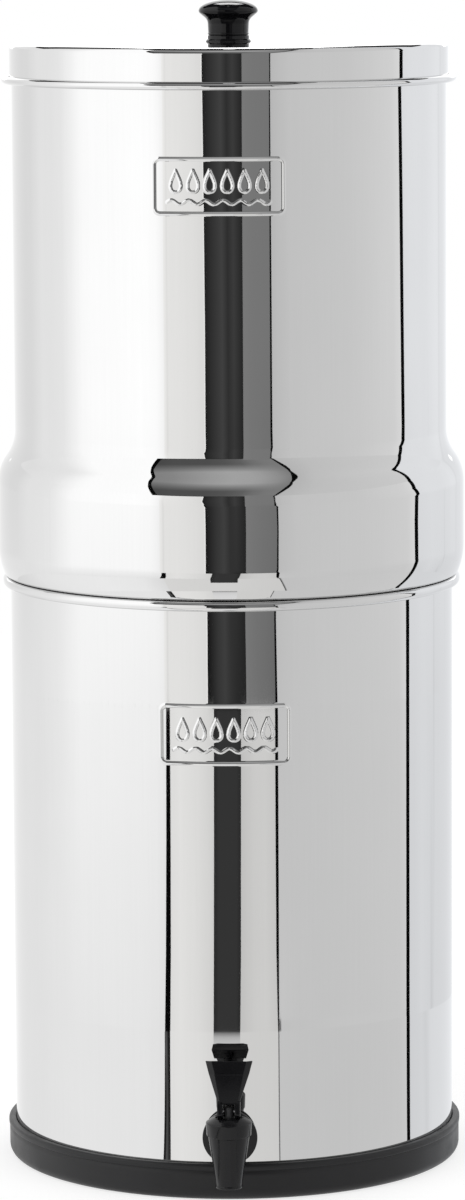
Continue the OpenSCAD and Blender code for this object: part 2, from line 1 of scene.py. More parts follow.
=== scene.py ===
"""Looks of the gravity water filter with tap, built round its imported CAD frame.

Blender works in metres. Outlines are written here in millimetres, as the CAD model has them, and MM
turns them into metres when a piece is made. Azimuth 0 is the front (-Y), and it grows towards +X.
"""
from math import asin, atan2, ceil, cos, degrees, dist, pi, radians, sin, tan

import bmesh
import bpy
import numpy as np
from mathutils import Matrix, Vector

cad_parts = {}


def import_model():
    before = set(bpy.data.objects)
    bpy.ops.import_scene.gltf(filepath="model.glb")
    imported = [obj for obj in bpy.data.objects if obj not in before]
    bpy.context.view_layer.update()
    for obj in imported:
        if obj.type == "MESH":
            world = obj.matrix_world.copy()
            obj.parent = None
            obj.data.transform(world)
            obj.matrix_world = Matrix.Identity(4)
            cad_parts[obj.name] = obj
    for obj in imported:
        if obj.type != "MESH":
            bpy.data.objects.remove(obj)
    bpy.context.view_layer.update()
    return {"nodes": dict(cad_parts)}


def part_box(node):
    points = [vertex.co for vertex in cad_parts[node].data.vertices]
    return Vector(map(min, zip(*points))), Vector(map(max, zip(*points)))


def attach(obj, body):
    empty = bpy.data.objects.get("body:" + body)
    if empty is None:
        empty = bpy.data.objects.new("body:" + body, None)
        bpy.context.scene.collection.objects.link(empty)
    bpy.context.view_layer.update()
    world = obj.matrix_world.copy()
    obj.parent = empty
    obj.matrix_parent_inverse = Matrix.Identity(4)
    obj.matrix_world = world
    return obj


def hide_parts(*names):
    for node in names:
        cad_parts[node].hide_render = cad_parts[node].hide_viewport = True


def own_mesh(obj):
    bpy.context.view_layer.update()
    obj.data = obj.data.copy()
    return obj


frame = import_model()

MM = 0.001


def low(node):
    """Lowest corner of a CAD node, in mm."""
    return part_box(node)[0] / MM


def high(node):
    """Highest corner of a CAD node, in mm."""
    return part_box(node)[1] / MM


# ---- sizes, in mm ----

SHEET = 1.0  # steel of the chambers
LID_SHEET = 0.8
THREAD_GAP = 0.1
RELIEF = 0.7  # how far the name frames stand proud

RING_TOP = high("base_ring").z
RING_LIP_R = high("base_ring").x
RING_LIP_H = 4.2
RING_R = RING_LIP_R - 0.5
RING_FLOOR = 3.0

LOWER_R = 141.5
LOWER_Z = low("lower_chamber").z
LOWER_TOP = high("lower_chamber").z
LOWER_BEND = 6.0
PANEL_R = 104.0  # raised panel in the bottom
PANEL_RISE = 3.0
RIM_W = 5.85  # rolled rim
RIM_H = 6.2

LEDGE_Z = LOWER_TOP
PLUG_R = LOWER_R - SHEET - 0.8
PLUG_Z = low("upper_chamber").z
PLUG_BEND = 8.0
FLOOR_Z = PLUG_Z + SHEET
BELLY_R = -low("upper_chamber").x  # the side on which the CAD mesh is narrower
BELLY_LOW = 19.5
BELLY_H = 40.1
SHOULDER_H = 34.0
UPPER_R = LOWER_R - 3.7
UPPER_TOP = high("upper_chamber").z
LEDGE_BEND = 1.2  # bend where the ledge meets the foot
LEDGE_EDGE = 4.0  # bend at the ledge's outer edge
LEDGE_OUT = 0.6  # how far outside the lower wall that bend starts
HEM_H = 5.0

LID_TOP = high("lid_shell").z
LID_R = UPPER_R + 0.5 + LID_SHEET
LID_BEND = 3.8
LID_BEAD_R = 3.0
LID_BEAD_H = 4.6  # the bead is rolled round, then pressed to this height
LID_BEAD_END = 125  # degrees, where the rolled bead stops

KNOB_TOP = high("lid_knob").z
KNOB_R = 18.8
KNOB_NECK_R = 13.0
KNOB_FOOT_R = 14.6
KNOB_DOME_H = 6.8
KNOB_EDGE = 2.5
KNOB_COVE = 5.5
KNOB_SLOPE = 50  # degrees
KNOB_BASE_H = 4.0
INSERT_R = 4.2
INSERT_H = 11.0
SCREW_HOLE_R = 2.6  # in the lid, and above the insert

FILTERS = 4
ELEMENT_R = 33.0
ELEMENT_CORE_R = 8.0
ELEMENT_Z = low("filter_element_1").z
ELEMENT_TOP = high("filter_element_1").z
CAP_Z = FLOOR_Z + 2.5
CAP_H = 14.0
CAP_WALL = 1.6
CAP_FLOOR = 4.0
CAP_R = ELEMENT_R + 0.2 + CAP_WALL
STEM_R = 5.0
STEM_BORE_R = 1.9
STEM_PITCH = 1.5  # of its thread
STEM_Z = low("filter_base_1").z
CAP_FREE = 15.9  # between the caps and the wall
HOLE_CIRCLE_R = PLUG_R - SHEET - CAP_FREE - CAP_R
NUT_H = 9.0
NUT_SPAN = 38.0

SPOUT_Y = -(LOWER_R + 38.0)
SPOUT_Z = low("tap_body").z
SPOUT_R = 8.1
WAY_R = 4.5  # the water's way through the tap
BODY_R = 12.9
FLANGE_R = 17.15
FLANGE_T = 3.5
FLANGE_Y = -(LOWER_R + 2.5)
TAP_Z = RING_TOP + 0.25 + FLANGE_R
BODY_TOP = TAP_Z + 9.6
NECK_TOP = high("tap_body").z
NECK_R = BODY_R - 2.1
SEAT_Z = low("tap_seat_cup").z
SHANK_R = 8.0
SHANK_PITCH = 1.8  # of its thread
SHANK_NEAR = 10.0  # from the spout's axis to where the shank starts
SHANK_END = high("tap_body").y
BONNET_R = 14.2
BONNET_TOP = high("tap_bonnet").z
BONNET_EDGE = BODY_TOP + 8.6
ROD_R = 3.1
CUP_R = 7.4
PIN_Z = (low("tap_handle_pin").z + high("tap_handle_pin").z) / 2

FRAME_W = 83.0
FRAME_LINE = 2.6
FRAME_GRID = 0.45  # the mesh that carries the frame


# ---- outlines ----

def bend(centre_r, centre_z, radius, start, end, side=1, step=6):
    """Points along an arc of the half section, each with the direction that leaves the sheet there."""
    count = max(4, ceil(abs(end - start) / step))
    points = []
    for i in range(count + 1):
        angle = start + (end - start) * i / count
        a = radians(angle)
        points.append((centre_r + radius * cos(a), centre_z + radius * sin(a),
                       angle if side > 0 else angle + 180))
    return points


def plain(path):
    """The same points without their directions."""
    return [(r, z) for r, z, _ in path]


def inset(path, depth):
    """The same points moved into the sheet, without their directions."""
    return [(r - depth * cos(radians(a)), z - depth * sin(radians(a)))
            for r, z, a in path]


def rungs(radius, start, end, step):
    """Points up a straight wall, with one close to each end to keep its shading flat."""
    count = max(2, ceil(abs(end - start) / step))
    ease = 0.4 if end > start else -0.4
    heights = [start + ease, *(start + (end - start) * i / count for i in range(1, count)), end - ease]
    return [(radius, z, 0) for z in heights]


def sheet(path, thickness, inner=None):
    """A closed outline of a sheet: its outer side, then its inner side back."""
    return plain(path) + inset(inner or path, thickness)[::-1]


def cylinder(radius, start, end):
    """The closed outline of a cylinder."""
    return [(0, start), (radius, start), (radius, end), (0, end)]


def rounded(points, radius):
    """A closed outline with each corner off the axis cut to a small arc."""
    steps = 3
    out = []
    count = len(points)
    for i, point in enumerate(points):
        here = Vector(point)
        back = Vector(points[i - 1]) - here
        ahead = Vector(points[(i + 1) % count]) - here
        reach = min(radius, back.length / 2.5, ahead.length / 2.5)
        if here.x < 1e-6 or reach < 0.02:
            out.append(tuple(here))
            continue
        a = here + back.normalized() * reach
        b = here + ahead.normalized() * reach
        for k in range(steps + 1):
            t = k / steps
            out.append(tuple(a * (1 - t) ** 2 + here * 2 * t * (1 - t) + b * t * t))
    return out


# ---- meshes ----

def around(count):
    """So many azimuths round an axis."""
    return np.linspace(0, 2 * pi, count + 1)[:-1]


ROUND = around(96)
FINE_ROUND = around(192)


def turned(outline, azimuths=ROUND, shape=None):
    """Turns a closed outline of (radius, height) about Z. shape(radii, height, azimuths) may move it."""
    sines, cosines = np.sin(azimuths), np.cos(azimuths)
    count = len(azimuths)
    verts, rows = [], []
    for r, z in outline:
        if r < 1e-6:
            rows.append([len(verts)] * count)
            verts.append((0.0, 0.0, z))
            continue
        radii = np.full(count, r) if shape is None else shape(np.full(count, r), z, azimuths)
        rows.append(range(len(verts), len(verts) + count))
        verts.extend(zip(radii * sines, -radii * cosines, [z] * count))
    faces = []
    for i, row in enumerate(rows):
        following = rows[(i + 1) % len(rows)]
        for k in range(count):
            n = (k + 1) % count
            corners = dict.fromkeys((row[k], row[n], following[n], following[k]))
            if len(corners) > 2:
                faces.append(tuple(corners))
    mesh = bpy.data.meshes.new("turned")
    mesh.from_pydata(verts, [], faces)
    bm = bmesh.new()
    bm.from_mesh(mesh)
    bpy.data.meshes.remove(mesh)
    return bm


def shift(y=0, z=0):
    return Matrix.Translation((0, y, z))


def spin(angle, axis="Z"):
    return Matrix.Rotation(radians(angle), 4, axis)


def moved(bm, *steps):
    """The bmesh, moved by each matrix in turn."""
    for step in steps:
        bm.transform(step)
    return bm


def joined(*parts):
    """One bmesh of several."""
    whole = bmesh.new()
    for part in parts:
        mesh = bpy.data.meshes.new("part")
        part.to_mesh(mesh)
        part.free()
        whole.from_mesh(mesh)
        bpy.data.meshes.remove(mesh)
    return whole


def skinned(rings):
    """A closed skin over a row of rings, each with as many points as the next."""
    bm = bmesh.new()
    loops = [[bm.verts.new(point) for point in ring] for ring in rings]
    for one, two in zip(loops, loops[1:]):
        for k in range(len(one)):
            n = (k + 1) % len(one)
            bm.faces.new((one[k], one[n], two[n], two[k]))
    bm.faces.new(loops[0])
    bm.faces.new(loops[-1])
    return bm


def extruded(outline, start, end):
    """A prism of an (x, y) outline, from one height to another."""
    return skinned([[(x, y, z) for x, y in outline] for z in (start, end)])


def softened(bm, width, angle=25, segments=2):
    """Rounds the edges that are sharper than an angle."""
    bmesh.ops.recalc_face_normals(bm, faces=bm.faces)
    sharp = [e for e in bm.edges
             if len(e.link_faces) == 2 and e.calc_face_angle(0) > radians(angle)]
    bmesh.ops.bevel(bm, geom=sharp, offset=width, segments=segments, profile=0.5, affect="EDGES",
                    clamp_overlap=True)
    return bm


def placed(name, data):
    """A new object in the scene."""
    obj = bpy.data.objects.new(name, data)
    bpy.context.scene.collection.objects.link(obj)
    return obj


def cut(obj, cutter_bm):
    """Cuts a closed shape, given in mm, out of a piece."""
    mesh = bpy.data.meshes.new("cutter")
    for vert in cutter_bm.verts:
        vert.co *= MM
    bmesh.ops.recalc_face_normals(cutter_bm, faces=cutter_bm.faces)
    cutter_bm.to_mesh(mesh)
    cutter_bm.free()
    cutter = placed("cutter", mesh)
    modifier = obj.modifiers.new("cut", "BOOLEAN")
    modifier.operation = "DIFFERENCE"
    modifier.solver = "EXACT"
    modifier.object = cutter
    depsgraph = bpy.context.evaluated_depsgraph_get()
    result = bpy.data.meshes.new_from_object(obj.evaluated_get(depsgraph))
    obj.modifiers.clear()
    old, name = obj.data, obj.data.name
    obj.data = result
    bpy.data.meshes.remove(old)
    result.name = name
    bpy.data.objects.remove(cutter)
    bpy.data.meshes.remove(mesh)


MATERIALS = {}


def piece(name, bm, body, slot, *nodes, look=None, sharp=38, cutter=None):
    """Makes a piece of a bmesh in mm. It rides on a body and stands for some CAD nodes."""
    bmesh.ops.recalc_face_normals(bm, faces=bm.faces)
    limit = radians(sharp)
    for vert in bm.verts:
        vert.co *= MM
    for edge in bm.edges:
        edge.smooth = len(edge.link_faces) == 2 and edge.calc_face_angle(0) < limit
    for face in bm.faces:
        face.smooth = True
    mesh = bpy.data.meshes.new(name)
    bm.to_mesh(mesh)
    bm.free()
    obj = placed(name, mesh)
    mesh.materials.append(MATERIALS[look or slot])
    if cutter:
        cut(obj, cutter)
    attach(obj, body)
    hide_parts(*nodes)
    return obj


# ---- materials ----

def add(tree, kind, inputs=None, **properties):
    """Adds a shader node. Its inputs are constants or the sockets that feed them."""
    node = tree.nodes.new("ShaderNode" + kind)
    for key, value in properties.items():
        setattr(node, key, value)
    for key, value in (inputs or {}).items():
        if isinstance(value, bpy.types.NodeSocket):
            tree.links.new(value, node.inputs[key])
        else:
            node.inputs[key].default_value = value
    return node


def noise(tree, grain, stretch=(1, 1, 1), detail=3.0):
    """Noise with grains of a size in mm, drawn out where stretch is small."""
    place = add(tree, "TexCoord").outputs["Object"]
    mapped = add(tree, "Mapping", {"Vector": place, "Scale": stretch}).outputs["Vector"]
    texture = add(tree, "TexNoise", {"Vector": mapped, "Scale": 1 / (grain * MM), "Detail": detail})
    return texture.outputs["Fac"]


def between(tree, value, start, end):
    """Maps noise, most of which lies within reach of a half, to start..end."""
    reach = 0.2
    mapped = add(tree, "MapRange", {"Value": value, "From Min": 0.5 - reach, "From Max": 0.5 + reach,
                                    "To Min": start, "To Max": end})
    return mapped.outputs["Result"]


def new_material(name):
    material = bpy.data.materials.new(name)
    material.use_nodes = True
    return material, material.node_tree


def finish(slot, colour, rough, grain, bump, stretch=(1, 1, 1), blotch=30.0, vary=0.1,
           rough_vary=0.05, metallic=0.0, gloss=0.5, detail=3.0):
    """A material whose fine grain and broad blotches vary its colour, roughness and surface."""
    material, tree = new_material(slot)
    shader = tree.nodes["Principled BSDF"]
    shader.inputs["Metallic"].default_value = metallic
    shader.inputs["Specular IOR Level"].default_value = gloss
    fine = noise(tree, grain, stretch, detail)
    broad = noise(tree, blotch)
    mixed = add(tree, "Mix", {"Factor": 0.5, "A": fine, "B": broad}).outputs["Result"]
    dark, light = ((*(c * share for c in colour), 1) for share in (1 - vary, 1 + vary))
    tint = add(tree, "Mix", {"Factor": between(tree, mixed, 0.0, 1.0), "A": dark, "B": light},
               data_type="RGBA")
    tree.links.new(tint.outputs["Result"], shader.inputs["Base Color"])
    tree.links.new(between(tree, mixed, rough - rough_vary, rough + rough_vary),
                   shader.inputs["Roughness"])
    raised = add(tree, "Bump", {"Strength": 1.0, "Distance": bump * MM, "Height": fine})
    tree.links.new(raised.outputs["Normal"], shader.inputs["Normal"])
    MATERIALS[slot] = material


STEEL_TONE = 0.62
STREAK = (1, 1, 0.012)  # the grain runs up the sheet

finish("polished_steel", (STEEL_TONE,) * 3, 0.022, 1.3, 0.0005, STREAK, 45, 0.012, 0.008, 1.0)
finish("black_rubber", (0.012, 0.012, 0.013), 0.42, 0.9, 0.03, blotch=14, vary=0.2, rough_vary=0.08,
       gloss=0.3)
finish("black_plastic", (0.007, 0.007, 0.008), 0.16, 1.6, 0.006, blotch=9, vary=0.15, gloss=0.25)
finish("plunger_plastic", (0.05, 0.05, 0.052), 0.38, 0.8, 0.01, blotch=6, gloss=0.3)
finish("knob_plastic", (0.004, 0.004, 0.005), 0.08, 2.4, 0.004, blotch=14, vary=0.15, rough_vary=0.03,
       gloss=0.25)
finish("silicone", (0.5, 0.5, 0.49), 0.55, 1.0, 0.02, blotch=9)
finish("tap_rubber", (0.02, 0.02, 0.021), 0.6, 0.7, 0.02, blotch=8)
finish("gasket_blue", (0.07, 0.14, 0.33), 0.55, 0.8, 0.02, blotch=8)
finish("carbon_block", (0.028, 0.028, 0.028), 0.85, 0.55, 0.12, blotch=18, vary=0.45, detail=5)
finish("cap_plastic", (0.02, 0.02, 0.021), 0.4, 0.7, 0.02, blotch=12)
finish("white_plastic", (0.8, 0.8, 0.77), 0.4, 0.8, 0.015, blotch=12, vary=0.03)
finish("brass", (0.72, 0.5, 0.22), 0.28, 0.5, 0.01, (1, 1, 12), 9, 0.08, 0.05, 1.0)
finish("steel_fastener", (0.6, 0.6, 0.61), 0.3, 0.5, 0.008, (1, 1, 12), 9, 0.06, 0.06, 1.0)
finish("spring_steel", (0.55, 0.55, 0.56), 0.25, 0.4, 0.006, blotch=5, metallic=1.0)


def carried(slot, *nodes):
    """CAD nodes that keep their shape take a material."""
    for name in nodes:
        materials = frame["nodes"][name].data.materials
        materials.clear()
        materials.append(MATERIALS[slot])


# ---- chambers ----

def distance(line, u, v):
    """Distance of each point from a line of points."""
    nearest = np.full(u.shape, 1e9)
    for (u0, v0), (u1, v1) in zip(line, line[1:]):
        along = np.array([u1 - u0, v1 - v0])
        length = max(float(along @ along), 1e-9)
        t = np.clip(((u - u0) * along[0] + (v - v0) * along[1]) / length, 0, 1)
        nearest = np.minimum(nearest, np.hypot(u - u0 - t * along[0], v - v0 - t * along[1]))
    return nearest


def ridge(line, u, v, width):
    """A soft ridge along a line: 1 on it, and 0 at half its width."""
    return np.cos(np.clip(2 * distance(line, u, v) / width, 0, 1) * pi / 2) ** 2


def rounded_box(w, h, r):
    """The outline of a rectangle with round corners, closed."""
    points = []
    for quarter, (x, y) in enumerate(((1, 1), (-1, 1), (-1, -1), (1, -1))):
        for k in range(7):
            a = radians(90 * quarter + 15 * k)
            points.append((x * (w / 2 - r) + r * cos(a), y * (h / 2 - r) + r * sin(a)))
    return points + points[:1]


DROPS = 6
DROP_PITCH = 10.6
DROP_W = 8.0
DROP_H = 13.5
DROP_V = 3.2  # the drops' middle above the frame's
WAVE_V = -9.6  # and the wave's
WAVE_H = 1.3
MOTIF_LINE = 2.0
MOTIF_RELIEF = 0.7  # share of the frame's relief


def drop(centre_u):
    """The outline of a water drop, its tip up."""
    points = []
    for k in range(33):
        t = 2 * pi * k / 32
        swell = sin(t) * sin(t / 2) ** 1.5 / 0.86
        points.append((centre_u + DROP_W / 2 * swell, DROP_V + DROP_H / 2 * cos(t)))
    return points


def wave():
    """A wavy line under the drops."""
    length = DROPS * DROP_PITCH
    return [(u, WAVE_V + WAVE_H * sin(2 * pi * u / DROP_PITCH))
            for u in np.linspace(-length / 2, length / 2, 73)]


def name_frame(centre_z, height, turn, radius):
    """What a chamber's wall needs to carry a pressed frame with drops over water in it."""
    border = rounded_box(FRAME_W - FRAME_LINE, height - FRAME_LINE, 3.2)
    motif = [drop(DROP_PITCH * (i - (DROPS - 1) / 2)) for i in range(DROPS)] + [wave()]

    def shape(radii, z, azimuths):
        v = z - centre_z
        if abs(v) > height / 2 + 0.5 or abs(radii[0] - radius) > 0.01:
            return radii
        u = (np.mod(azimuths - turn + pi, 2 * pi) - pi) * radius
        v = np.full(u.shape, v)
        proud = ridge(border, u, v, FRAME_LINE)
        for line in motif:
            proud = np.maximum(proud, MOTIF_RELIEF * ridge(line, u, v, MOTIF_LINE))
        return radii + RELIEF * proud
    return shape


def shell_azimuths(turn, radius):
    """Azimuths round a shell, close together where its frame is."""
    half = (FRAME_W / 2 + 1.5) / radius
    near = np.linspace(turn - half, turn + half, int(2 * half * radius / FRAME_GRID))
    return np.concatenate([near, np.linspace(turn + half, turn - half + 2 * pi, 180)[1:-1]])


def shell(foot, radius, start, end, top, frame_z, frame_h, turn):
    """A chamber of sheet: a foot, a straight wall with a name frame, and a top."""
    below, above = frame_z - frame_h / 2 - 1, frame_z + frame_h / 2 + 1
    outer = (rungs(radius, start, below, 12) + rungs(radius, below, above, FRAME_GRID)
             + rungs(radius, above, end, 12))
    outline = sheet(foot + outer + top, SHEET, foot + rungs(radius, start, end, 30) + top)
    return turned(outline, shell_azimuths(turn, radius), name_frame(frame_z, frame_h, turn, radius))


# Each name frame's middle, its height and its azimuth
LOWER_FRAME = (293.9, 38.6, radians(-0.7))
UPPER_FRAME = (LEDGE_Z + 254.8, 36.0, radians(-1.6))


def lower_shell():
    curl_in, curl_out, slit = 0.6, 1.6, 0.6
    curl_r = LOWER_R + RIM_W - 2 * SHEET - curl_out
    bottom = (
        [(0, LOWER_Z + PANEL_RISE, -90)]
        + bend(PANEL_R - 2, LOWER_Z + PANEL_RISE - 1.2, 1.2, 90, 30, -1)
        + bend(PANEL_R + 1.5, LOWER_Z + 1.2, 1.2, 210, 270)
        + bend(LOWER_R - LOWER_BEND, LOWER_Z + LOWER_BEND, LOWER_BEND, -90, 0))
    rim = (
        bend(LOWER_R + curl_in, LOWER_TOP - SHEET - curl_in, curl_in, 180, 90, -1)
        + bend(curl_r, LOWER_TOP - SHEET - curl_out, curl_out, 90, 0, -1)
        + bend(curl_r, LOWER_TOP - RIM_H + SHEET + curl_out, curl_out, 0, -90, -1)
        + [(LOWER_R + slit, LOWER_TOP - RIM_H + SHEET, 90)])
    start, end = LOWER_Z + LOWER_BEND, LOWER_TOP - SHEET - curl_in
    bm = shell(bottom, LOWER_R, start, end, rim, *LOWER_FRAME)
    hole = moved(turned(cylinder(SHANK_R + 0.4, 0, 30)), ALONG_TAP, shift(-LOWER_R + 15, TAP_Z))
    piece("lower_shell", bm, "lower", "polished_steel", "lower_chamber", cutter=hole)


def upper_shell():
    belly_z = LEDGE_Z + BELLY_LOW
    shoulder_z = belly_z + BELLY_H
    low_in = BELLY_R - LOWER_R - LEDGE_OUT
    low_r = (low_in ** 2 + BELLY_LOW ** 2 - 2 * LEDGE_EDGE * BELLY_LOW) / (2 * (low_in - LEDGE_EDGE))
    low_a = -degrees(asin((BELLY_LOW - LEDGE_EDGE) / (low_r - LEDGE_EDGE)))
    shoulder_in = BELLY_R - UPPER_R
    shoulder_r = (shoulder_in ** 2 + SHOULDER_H ** 2) / (4 * shoulder_in)
    shoulder_a = degrees(atan2(SHOULDER_H, 2 * shoulder_r - shoulder_in))
    hem_bend = SHEET + 0.2
    foot = (
        [(0, PLUG_Z, -90)]
        + bend(PLUG_R - PLUG_BEND, PLUG_Z + PLUG_BEND, PLUG_BEND, -90, 0)
        + bend(PLUG_R + LEDGE_BEND, LEDGE_Z - LEDGE_BEND, LEDGE_BEND, 180, 90, -1)
        + bend(LOWER_R + LEDGE_OUT, LEDGE_Z + LEDGE_EDGE, LEDGE_EDGE, -90, low_a, step=4)
        + bend(BELLY_R - low_r, belly_z, low_r, low_a, 0, step=1.5)
        + rungs(BELLY_R, belly_z, shoulder_z, 6)
        + bend(BELLY_R - shoulder_r, shoulder_z, shoulder_r, 0, shoulder_a, step=2.5)
        + bend(UPPER_R + shoulder_r, shoulder_z + SHOULDER_H, shoulder_r,
               180 + shoulder_a, 180, -1, step=2.5))
    hem = (
        bend(UPPER_R - hem_bend, UPPER_TOP - hem_bend, hem_bend, 0, 180)
        + [(UPPER_R - 2 * hem_bend, UPPER_TOP - HEM_H, 180)])
    start, end = shoulder_z + SHOULDER_H, UPPER_TOP - hem_bend
    bm = shell(foot, UPPER_R, start, end, hem, *UPPER_FRAME)
    bore = cylinder(STEM_R + 0.5, PLUG_Z - 2, FLOOR_Z + 2)
    holes = joined(*(moved(turned(bore), at_hole(i)) for i in range(2 * FILTERS)))
    piece("upper_shell", bm, "upper", "polished_steel", "upper_chamber", cutter=holes)


def lid():
    flat = LID_BEAD_H / (2 * LID_BEAD_R)
    bottom = low("lid_shell").z
    roll_r = LID_BEAD_R - LID_SHEET
    roll = bend(LID_R + roll_r, LID_BEAD_R, roll_r, 180, 360 + LID_BEAD_END, -1, 8)
    path = (
        [(r, LID_TOP, 90) for r in (SCREW_HOLE_R, 60, LID_R - LID_BEND - 0.5)]
        + bend(LID_R - LID_BEND, LID_TOP - LID_BEND, LID_BEND, 90, 0)
        + rungs(LID_R, LID_TOP - LID_BEND, bottom + LID_BEAD_H / 2, 4)
        + [(r, bottom + z * flat, angle) for r, z, angle in roll])
    bm = turned(sheet(path, LID_SHEET), FINE_ROUND)
    piece("lid_cover", bm, "lid", "polished_steel", "lid_shell")


def knob():
    rise = KNOB_TOP - LID_TOP
    edge_z = rise - KNOB_DOME_H
    slope = radians(KNOB_SLOPE)
    fall = KNOB_R - KNOB_NECK_R - (KNOB_EDGE + KNOB_COVE) * (1 - cos(slope))
    cove_z = edge_z - (KNOB_EDGE + KNOB_COVE) * sin(slope) - fall / tan(slope)
    dome = [(KNOB_R * cos(a), edge_z + KNOB_DOME_H * sin(a))
            for a in np.radians(np.arange(90, 4, -5))]
    side = (
        plain(bend(KNOB_R - KNOB_EDGE, edge_z, KNOB_EDGE, 0, -KNOB_SLOPE))
        + plain(bend(KNOB_NECK_R + KNOB_COVE, cove_z, KNOB_COVE, 180 - KNOB_SLOPE, 180)))
    foot = rounded(
        [(KNOB_NECK_R, KNOB_BASE_H + 1.5), (KNOB_NECK_R, KNOB_BASE_H + 0.5),
         (KNOB_NECK_R - 0.5, KNOB_BASE_H + 0.2), (KNOB_NECK_R + 0.2, KNOB_BASE_H - 0.3),
         (KNOB_NECK_R + 0.2, 1.7), (KNOB_FOOT_R - 0.5, 0.9), (KNOB_FOOT_R, 0),
         (INSERT_R, 0), (INSERT_R, INSERT_H), (SCREW_HOLE_R, INSERT_H),
         (SCREW_HOLE_R, INSERT_H + 4), (0, INSERT_H + 4)], 0.3)
    bm = turned([(0, dome[0][1])] + dome[1:] + side + foot)
    piece("knob", moved(bm, shift(z=LID_TOP)), "lid", "knob_plastic", "lid_knob")


def base_ring():
    lip_z = RING_TOP - RING_LIP_H
    inner_r = RING_R - 4.2
    corner = LOWER_BEND - 1
    hole_r = inner_r - 17
    foot, lip_low, lip_high = 6, 1.2, 1.8
    outline = (
        [(hole_r, 0.5), (hole_r + 0.5, 0)]
        + plain(bend(RING_R - foot, foot, foot, -90, 0))
        + plain(rungs(RING_R, foot, lip_z - 0.9, 3))
        + [(RING_R - 0.5, lip_z - 0.6), (RING_R - 0.5, lip_z)]
        + plain(bend(RING_LIP_R - lip_low, lip_z + lip_low, lip_low, -90, 0))
        + plain(bend(RING_LIP_R - lip_high, RING_TOP - lip_high, lip_high, 0, 90))
        + [(inner_r + 0.6, RING_TOP), (inner_r, RING_TOP - 0.6)]
        + plain(bend(inner_r - corner, RING_FLOOR + corner, corner, 0, -90))
        + [(hole_r + 0.5, RING_FLOOR), (hole_r, RING_FLOOR - 0.5)])
    piece("ring", turned(outline, FINE_ROUND), "lower", "black_rubber", "base_ring")


# ---- tap ----

ALONG_TAP = spin(90, "X")  # turns +Z to -Y
AT_SPOUT = shift(SPOUT_Y)


def threaded(crest, pitch, depth):
    """Cuts a thread into the rows of a turned piece that have the crest's radius."""
    def shape(radii, z, azimuths):
        if abs(radii[0] - crest) > 1e-3:
            return radii
        phase = np.mod(z / pitch - azimuths / (2 * pi), 1)
        return radii - depth * np.abs(2 * phase - 1)
    return shape


def thread_rows(radius, start, end, pitch):
    """Rows close enough to show a thread."""
    count = ceil(abs(end - start) / pitch * 6)
    return [(radius, start + (end - start) * i / count) for i in range(count + 1)]


def tap_body():
    spout = rounded([
        (WAY_R, SPOUT_Z), (SPOUT_R + 0.3, SPOUT_Z), (SPOUT_R + 0.3, SPOUT_Z + 1.2),
        (SPOUT_R, SPOUT_Z + 1.7), (BODY_R, BODY_TOP), (NECK_R, BODY_TOP), (NECK_R, NECK_TOP),
        (CUP_R + 1.6, NECK_TOP), (CUP_R + 1.6, SEAT_Z), (WAY_R, SEAT_Z)], 0.45)
    reach = FLANGE_Y - SPOUT_Y - SHANK_NEAR
    shank = rounded([
        (WAY_R, 0), (SHANK_R + 1.5, 0), (SHANK_R + 1.5, reach - FLANGE_T),
        (FLANGE_R, reach - FLANGE_T), (FLANGE_R, reach), (WAY_R, reach)], 0.9)
    thread = ([(WAY_R, 0)] + thread_rows(SHANK_R, 0.5, SHANK_END - FLANGE_Y - 0.8, SHANK_PITCH)
              + [(SHANK_R - 0.9, SHANK_END - FLANGE_Y), (WAY_R, SHANK_END - FLANGE_Y)])
    back = spin(-90, "X")  # turns +Z to +Y
    bm = joined(
        moved(turned(spout), AT_SPOUT),
        moved(turned(shank), back, shift(SPOUT_Y + SHANK_NEAR, TAP_Z)),
        moved(turned(thread, shape=threaded(SHANK_R, SHANK_PITCH, 0.7)), back, shift(FLANGE_Y, TAP_Z)))
    piece("tap_barrel", bm, "lower", "black_plastic", "tap_body")


def tap_bonnet():
    outline = rounded([
        (NECK_R + THREAD_GAP, BODY_TOP), (BODY_R + 0.9, BODY_TOP), (BONNET_R, BONNET_EDGE - 0.5),
        (BONNET_R - 0.4, BONNET_EDGE), (9, BONNET_TOP), (ROD_R + 0.05, BONNET_TOP),
        (ROD_R + 0.05, NECK_TOP), (NECK_R + THREAD_GAP, NECK_TOP)], 0.6)
    piece("tap_cap", moved(turned(outline), AT_SPOUT), "lower", "black_plastic", "tap_bonnet")


def tap_nut():
    flats, thick = 26.0, 8.0
    corner_r = flats / 2 / cos(radians(30))
    near_y = -(LOWER_R - SHEET - 4)
    rows = [(SHANK_R + 0.4, 0), (SHANK_R + 1.2, 0), (corner_r - 1.6, 0), (corner_r, 0.9),
            (corner_r, thick - 0.9), (corner_r - 1.6, thick), (SHANK_R + 1.2, thick)]
    rows += thread_rows(SHANK_R + 0.4, thick, 0.3, SHANK_PITCH)[:-1]

    def shape(radii, z, azimuths):
        if radii[0] < corner_r - 3:
            return radii
        turn = np.mod(azimuths, radians(60)) - radians(30)
        return np.minimum(radii, flats / 2 / np.cos(turn))
    bm = moved(turned(rows, shape=shape), ALONG_TAP, shift(near_y + thick, TAP_Z))
    piece("shank_nut", bm, "lower", "black_plastic", "tap_nut")


